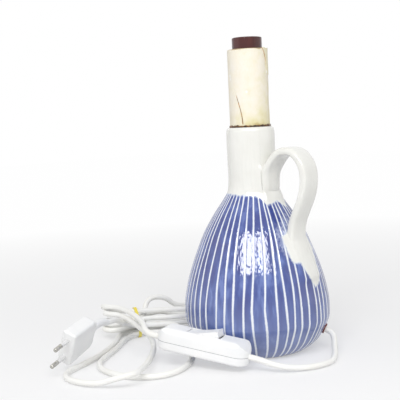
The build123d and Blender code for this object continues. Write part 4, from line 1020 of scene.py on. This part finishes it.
# %% Sizes of the socket and its tree
# The wave runs out over the last twelfth of the height.
THREAD_WALL, THREAD_RUN_OUT = 0.2, 12.0
SOCKET = {"Radius": 7.35 * MM, "Low": 271.0 * MM, "High": 291.5 * MM, "Pitch": 2.82 * MM,
          "Depth": 0.17 * MM, "Columns": 96, "Rows": 120}
tree, sizes = new_tree("rolled_thread", SOCKET)
flat = add(tree, "GeometryNodeMeshGrid", {
    "Size X": 1.0, "Size Y": 1.0, "Vertices X": sizes["Columns"], "Vertices Y": sizes["Rows"]})
position = add(tree, "GeometryNodeInputPosition")
place = add(tree, "ShaderNodeSeparateXYZ", {"Vector": position}, output=None).outputs

# %% How far round and how far up each point is
round_share = maths(tree, "ADD", place["X"], 0.5)
turn = maths(tree, "MULTIPLY", round_share, 2 * math.pi)
up_share = maths(tree, "ADD", place["Y"], 0.5)
tall = maths(tree, "SUBTRACT", sizes["High"], sizes["Low"])
rise = maths(tree, "MULTIPLY", up_share, tall)
height = maths(tree, "ADD", sizes["Low"], rise)

# %% The thread's wave, which runs out near the mouth
turns_up = maths(tree, "DIVIDE", rise, sizes["Pitch"])
climb = maths(tree, "MULTIPLY", turns_up, 2 * math.pi)
lag = maths(tree, "SUBTRACT", climb, turn)
wave = maths(tree, "SINE", lag)
to_mouth = maths(tree, "SUBTRACT", 1.0, up_share)
fade = maths(tree, "MULTIPLY", to_mouth, THREAD_RUN_OUT, use_clamp=True)
ridge = maths(tree, "MULTIPLY", wave, fade)
proud = maths(tree, "MULTIPLY", ridge, sizes["Depth"])
reach = maths(tree, "ADD", sizes["Radius"], proud)

# %% Roll the grid into the socket
cosine = maths(tree, "COSINE", turn)
sine = maths(tree, "SINE", turn)
rolled = add(tree, "ShaderNodeCombineXYZ", {
    "X": maths(tree, "MULTIPLY", reach, cosine),
    "Y": maths(tree, "MULTIPLY", reach, sine), "Z": height})
tube = add(tree, "GeometryNodeSetPosition", {"Geometry": flat, "Position": rolled})
seamless = add(tree, "GeometryNodeMergeByDistance", {"Geometry": tube, "Distance": 0.001 * MM})
close_tree(tree, seamless, brass)

# %% The socket as a plain mesh with a wall
socket = made_by(tree, "socket_thread", SOCKET)
wall = socket.modifiers.new("wall", "SOLIDIFY")
wall.thickness = THREAD_WALL * MM
wall.offset = 0.0
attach(socket, "lamp")
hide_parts("socket_shell")
print("socket points:", len(socket.data.vertices))

# %% [markdown]
# ## Small parts inside the neck and at the cord's hole
# The bung is black rubber, and the card tube and its packing are buff pulp board. The bush in the
# wall is hard red-brown rubber, the only colour at the hole where the cord comes out.

# %% Board, bung, bush
def matt_stuff(name, dark, light, roughness, size_mm, detail, depth_mm):
    """Matt material whose colour and bump follow one pattern."""
    material, tree, shader = new_material(name, Roughness=roughness)
    pattern = grain(tree, size_mm, detail)
    tone = toned(tree, pattern, (0.3, dark), (0.7, light))
    bump(tree, shader, pattern, depth_mm, 0.55)
    tree.links.new(tone, shader.inputs["Base Color"])
    return material


# Pulp board is short-fibred and speckled, the bung is matt moulded rubber with a faint bloom, and the
# bush is dull, slightly perished hard rubber.
pulp = matt_stuff("pulp_board", "B39F7C", "CDBB97", 0.85, 1.5, 5.0, 0.15)
black_rubber = matt_stuff("black_moulded_rubber", "1C1B1B", "2E2C2C", 0.7, 2.0, 4.0, 0.08)
red_rubber = matt_stuff("hard_red_rubber", "4E1C14", "84342A", 0.5, 2.5, 4.0, 0.08)
for node in ("card_sleeve", "card_packing"):
    give(node, pulp)
give("neck_bung", black_rubber)
give("cord_bush", red_rubber)

# %% [markdown]
# ## Cores of the lead
# Inside the holder the sheath is stripped back, and two insulated cores go to the screws: brown for
# live and blue for neutral. The other soft mouldings of the lead share their kind of material.

# %% Cores
def soft_plastic(name, dark, light, roughness=0.4, size_mm=20.0):
    """Extruded or moulded soft plastic whose tone drifts a little."""
    material, tree, shader = new_material(name, Roughness=roughness, IOR=1.5)
    tone = toned(tree, grain(tree, size_mm), (0.3, dark), (0.7, light))
    fine = grain(tree, 1.5)
    bump(tree, shader, fine, 0.04, 0.4)
    tree.links.new(tone, shader.inputs["Base Color"])
    return material


give("live_core", soft_plastic("brown_core_pvc", "5F3822", "75492E"))
give("neutral_core", soft_plastic("blue_core_pvc", "2D56A0", "3E6BB5"))
for node in ("inner_lead", "switch_cord_tails"):
    give(node, cord_pvc)

# %% [markdown]
# ## Switch and plug
# Both are moulded in white plastic, the switch a little glossier than the plug. New white plastic is
# never quite neutral, so it drifts between two near whites, and a fine bump keeps its highlights soft.
# The switch's two halves meet in a thin crevice, and the shade in it is painted as a grey line by height:
# the dot product of a point with the switch's own upward direction says how high up the switch the point
# is.

# %% White mouldings
# Compression-moulded urea plastic: hard, smooth, a cold white.
SWITCH_UP = (0.1408, 0.0443, 0.9891)
JOINT_LEVEL, JOINT_HALF = 15.90, 0.32
switch_white, tree, shader = new_material("white_moulded_urea", IOR=1.52)
tone = toned(tree, grain(tree, 25), (0.3, "F4F5F6"), (0.7, "F9F9F9"))
place = add(tree, "ShaderNodeTexCoord", output="Object")
level = add(tree, "ShaderNodeVectorMath", {0: place, 1: SWITCH_UP},
            output="Value", operation="DOT_PRODUCT")
# Painted shade: a grey line at the height where the crevice between the two halves lies.
off = maths(tree, "SUBTRACT", level, JOINT_LEVEL * MM)
off = maths(tree, "ABSOLUTE", off)
gap_shade = mapped(tree, off, 0.4 * JOINT_HALF * MM, JOINT_HALF * MM, 0.85, 0.0)
tone = mixed(tree, gap_shade, tone, hex_colour("8C8D90"))
gloss = mapped(tree, grain(tree, 6, 4.0), 0.3, 0.7, 0.34, 0.46)
bump(tree, shader, grain(tree, 1.4), 0.04, 0.4)
tree.links.new(tone, shader.inputs["Base Color"])
tree.links.new(gloss, shader.inputs["Roughness"])
for node in ("switch_base", "switch_cover", "switch_rocker", "cord_clamps"):
    give(node, switch_white)

# Soft PVC moulded over the pins, satin, with greyer sleeves; the tie is a strip of the same stuff.
plug_white = soft_plastic("white_moulded_pvc", "F0F1F1", "F6F6F6", 0.45)
for node in ("plug_body", "plug_strain_relief"):
    give(node, plug_white)
give("plug_pin_collars", soft_plastic("pale_pin_sleeves", "D5D5D6", "E6E6E6", 0.5))
give("hank_tie", soft_plastic("yellow_tie_strip", "F0D94E", "F7E97C", 0.5, 6.0))


# %% [markdown]
# ## Light and floor
# The light is soft daylight from the camera's side. Two lamps side by side stand for a window's
# panes, and their reflection is the double highlight on the glaze. The world stands for white
# surroundings: it looks white to the camera and in reflections, and gives less light than it shows,
# so that a colour renders about as it is written.

# %% World
def seen_directly(tree):
    """1 for rays from the camera, in reflections and through glass, 0 for light on surfaces."""
    rays = add(tree, "ShaderNodeLightPath", output=None).outputs
    seen = maths(tree, "MAXIMUM", rays["Is Camera Ray"], rays["Is Glossy Ray"])
    return maths(tree, "MAXIMUM", seen, rays["Is Transmission Ray"])


WORLD_LIGHT = 0.55
world = bpy.data.worlds.new("white_surroundings")
world.use_nodes = True
bpy.context.scene.world = world
tree = world.node_tree
tree.nodes.clear()
strength = mapped(tree, seen_directly(tree), to_start=WORLD_LIGHT, to_end=1.0)
glow = add(tree, "ShaderNodeBackground", {"Color": (1, 1, 1, 1), "Strength": strength})
add(tree, "ShaderNodeOutputWorld", {"Surface": glow}, output=None)


# %% Window panes
def add_pane(name, place, target, width, height, power):
    """Rectangular lamp at a place in metres that shines at a target."""
    data = bpy.data.lights.new(name, "AREA")
    data.shape, data.size, data.size_y, data.energy = "RECTANGLE", width, height, power
    lamp = new_object(name, data)
    lamp.location = place
    lamp.rotation_euler = (Vector(place) - Vector(target)).to_track_quat("Z", "Y").to_euler()
    return lamp


WINDOW_TARGET = (0.0, 0.0, 0.10)
WINDOW_FAR, WINDOW_RISE, WINDOW_HEIGHT, PANE_POWER = 1.5, 38.5, 0.46, 12.2
PANES = (("pane_left", -67.5, 0.60), ("pane_right", -35.0, 0.44))
for name, bearing, width in PANES:
    a, e = math.radians(bearing), math.radians(WINDOW_RISE)
    place = (WINDOW_FAR * math.cos(a) * math.cos(e), WINDOW_FAR * math.sin(a) * math.cos(e),
             WINDOW_TARGET[2] + WINDOW_FAR * math.sin(e))
    add_pane(name, place, WINDOW_TARGET, width, WINDOW_HEIGHT, PANE_POWER * width)

# %% White on both sides
# Wide weak lamps stand for white walls on both sides, which keep the sides from going grey.
WALL_SIZE = 1.6
WALLS = (("white_wall_left", (-1.5, -1.7, 0.8), 2.0), ("white_wall_right", (2.0, 1.1, 0.5), 1.4))
for name, place, power in WALLS:
    add_pane(name, place, WINDOW_TARGET, WALL_SIZE, WALL_SIZE, power)

# %% Floor
# White card that takes a soft shadow near the lamp. Further away it glows for the camera as the world
# does, so that no edge shows where they meet. Near and far are in metres from the jug's middle, and
# the floor's half width and height are in millimetres.
FLOOR_NEAR, FLOOR_FAR = 0.17, 1.1
GLOW_NEAR, GLOW_FAR = 0.435, 0.995
FLOOR_HALF, FLOOR_LOW = 4000, -0.3
card_floor, tree, shader = new_material("white_card_floor", Roughness=0.6)
shader.inputs["Specular IOR Level"].default_value = 0.0
shader.inputs["Emission Color"].default_value = hex_colour("FFFFFF")
direct = seen_directly(tree)
place = add(tree, "ShaderNodeTexCoord", output="Object")
away = add(tree, "ShaderNodeVectorMath", {0: place}, output="Value", operation="LENGTH")
far = mapped(tree, away, FLOOR_NEAR, FLOOR_FAR)
lit = mixed(tree, far, hex_colour("BFBFC0"), hex_colour("000000"))
card = mixed(tree, direct, hex_colour("EAEAEA"), lit)
glow = mapped(tree, far, to_start=GLOW_NEAR, to_end=GLOW_FAR)
glow = maths(tree, "MULTIPLY", direct, glow)
tree.links.new(card, shader.inputs["Base Color"])
tree.links.new(glow, shader.inputs["Emission Strength"])
corners = [(x * FLOOR_HALF, y * FLOOR_HALF, FLOOR_LOW) for x, y in ((-1, -1), (1, -1), (1, 1), (-1, 1))]
floor = make_piece("floor", corners, [(0, 1, 2, 3)], card_floor, smooth=False)

# %% The end: a plain colour view
bpy.context.scene.view_settings.view_transform = "Standard"
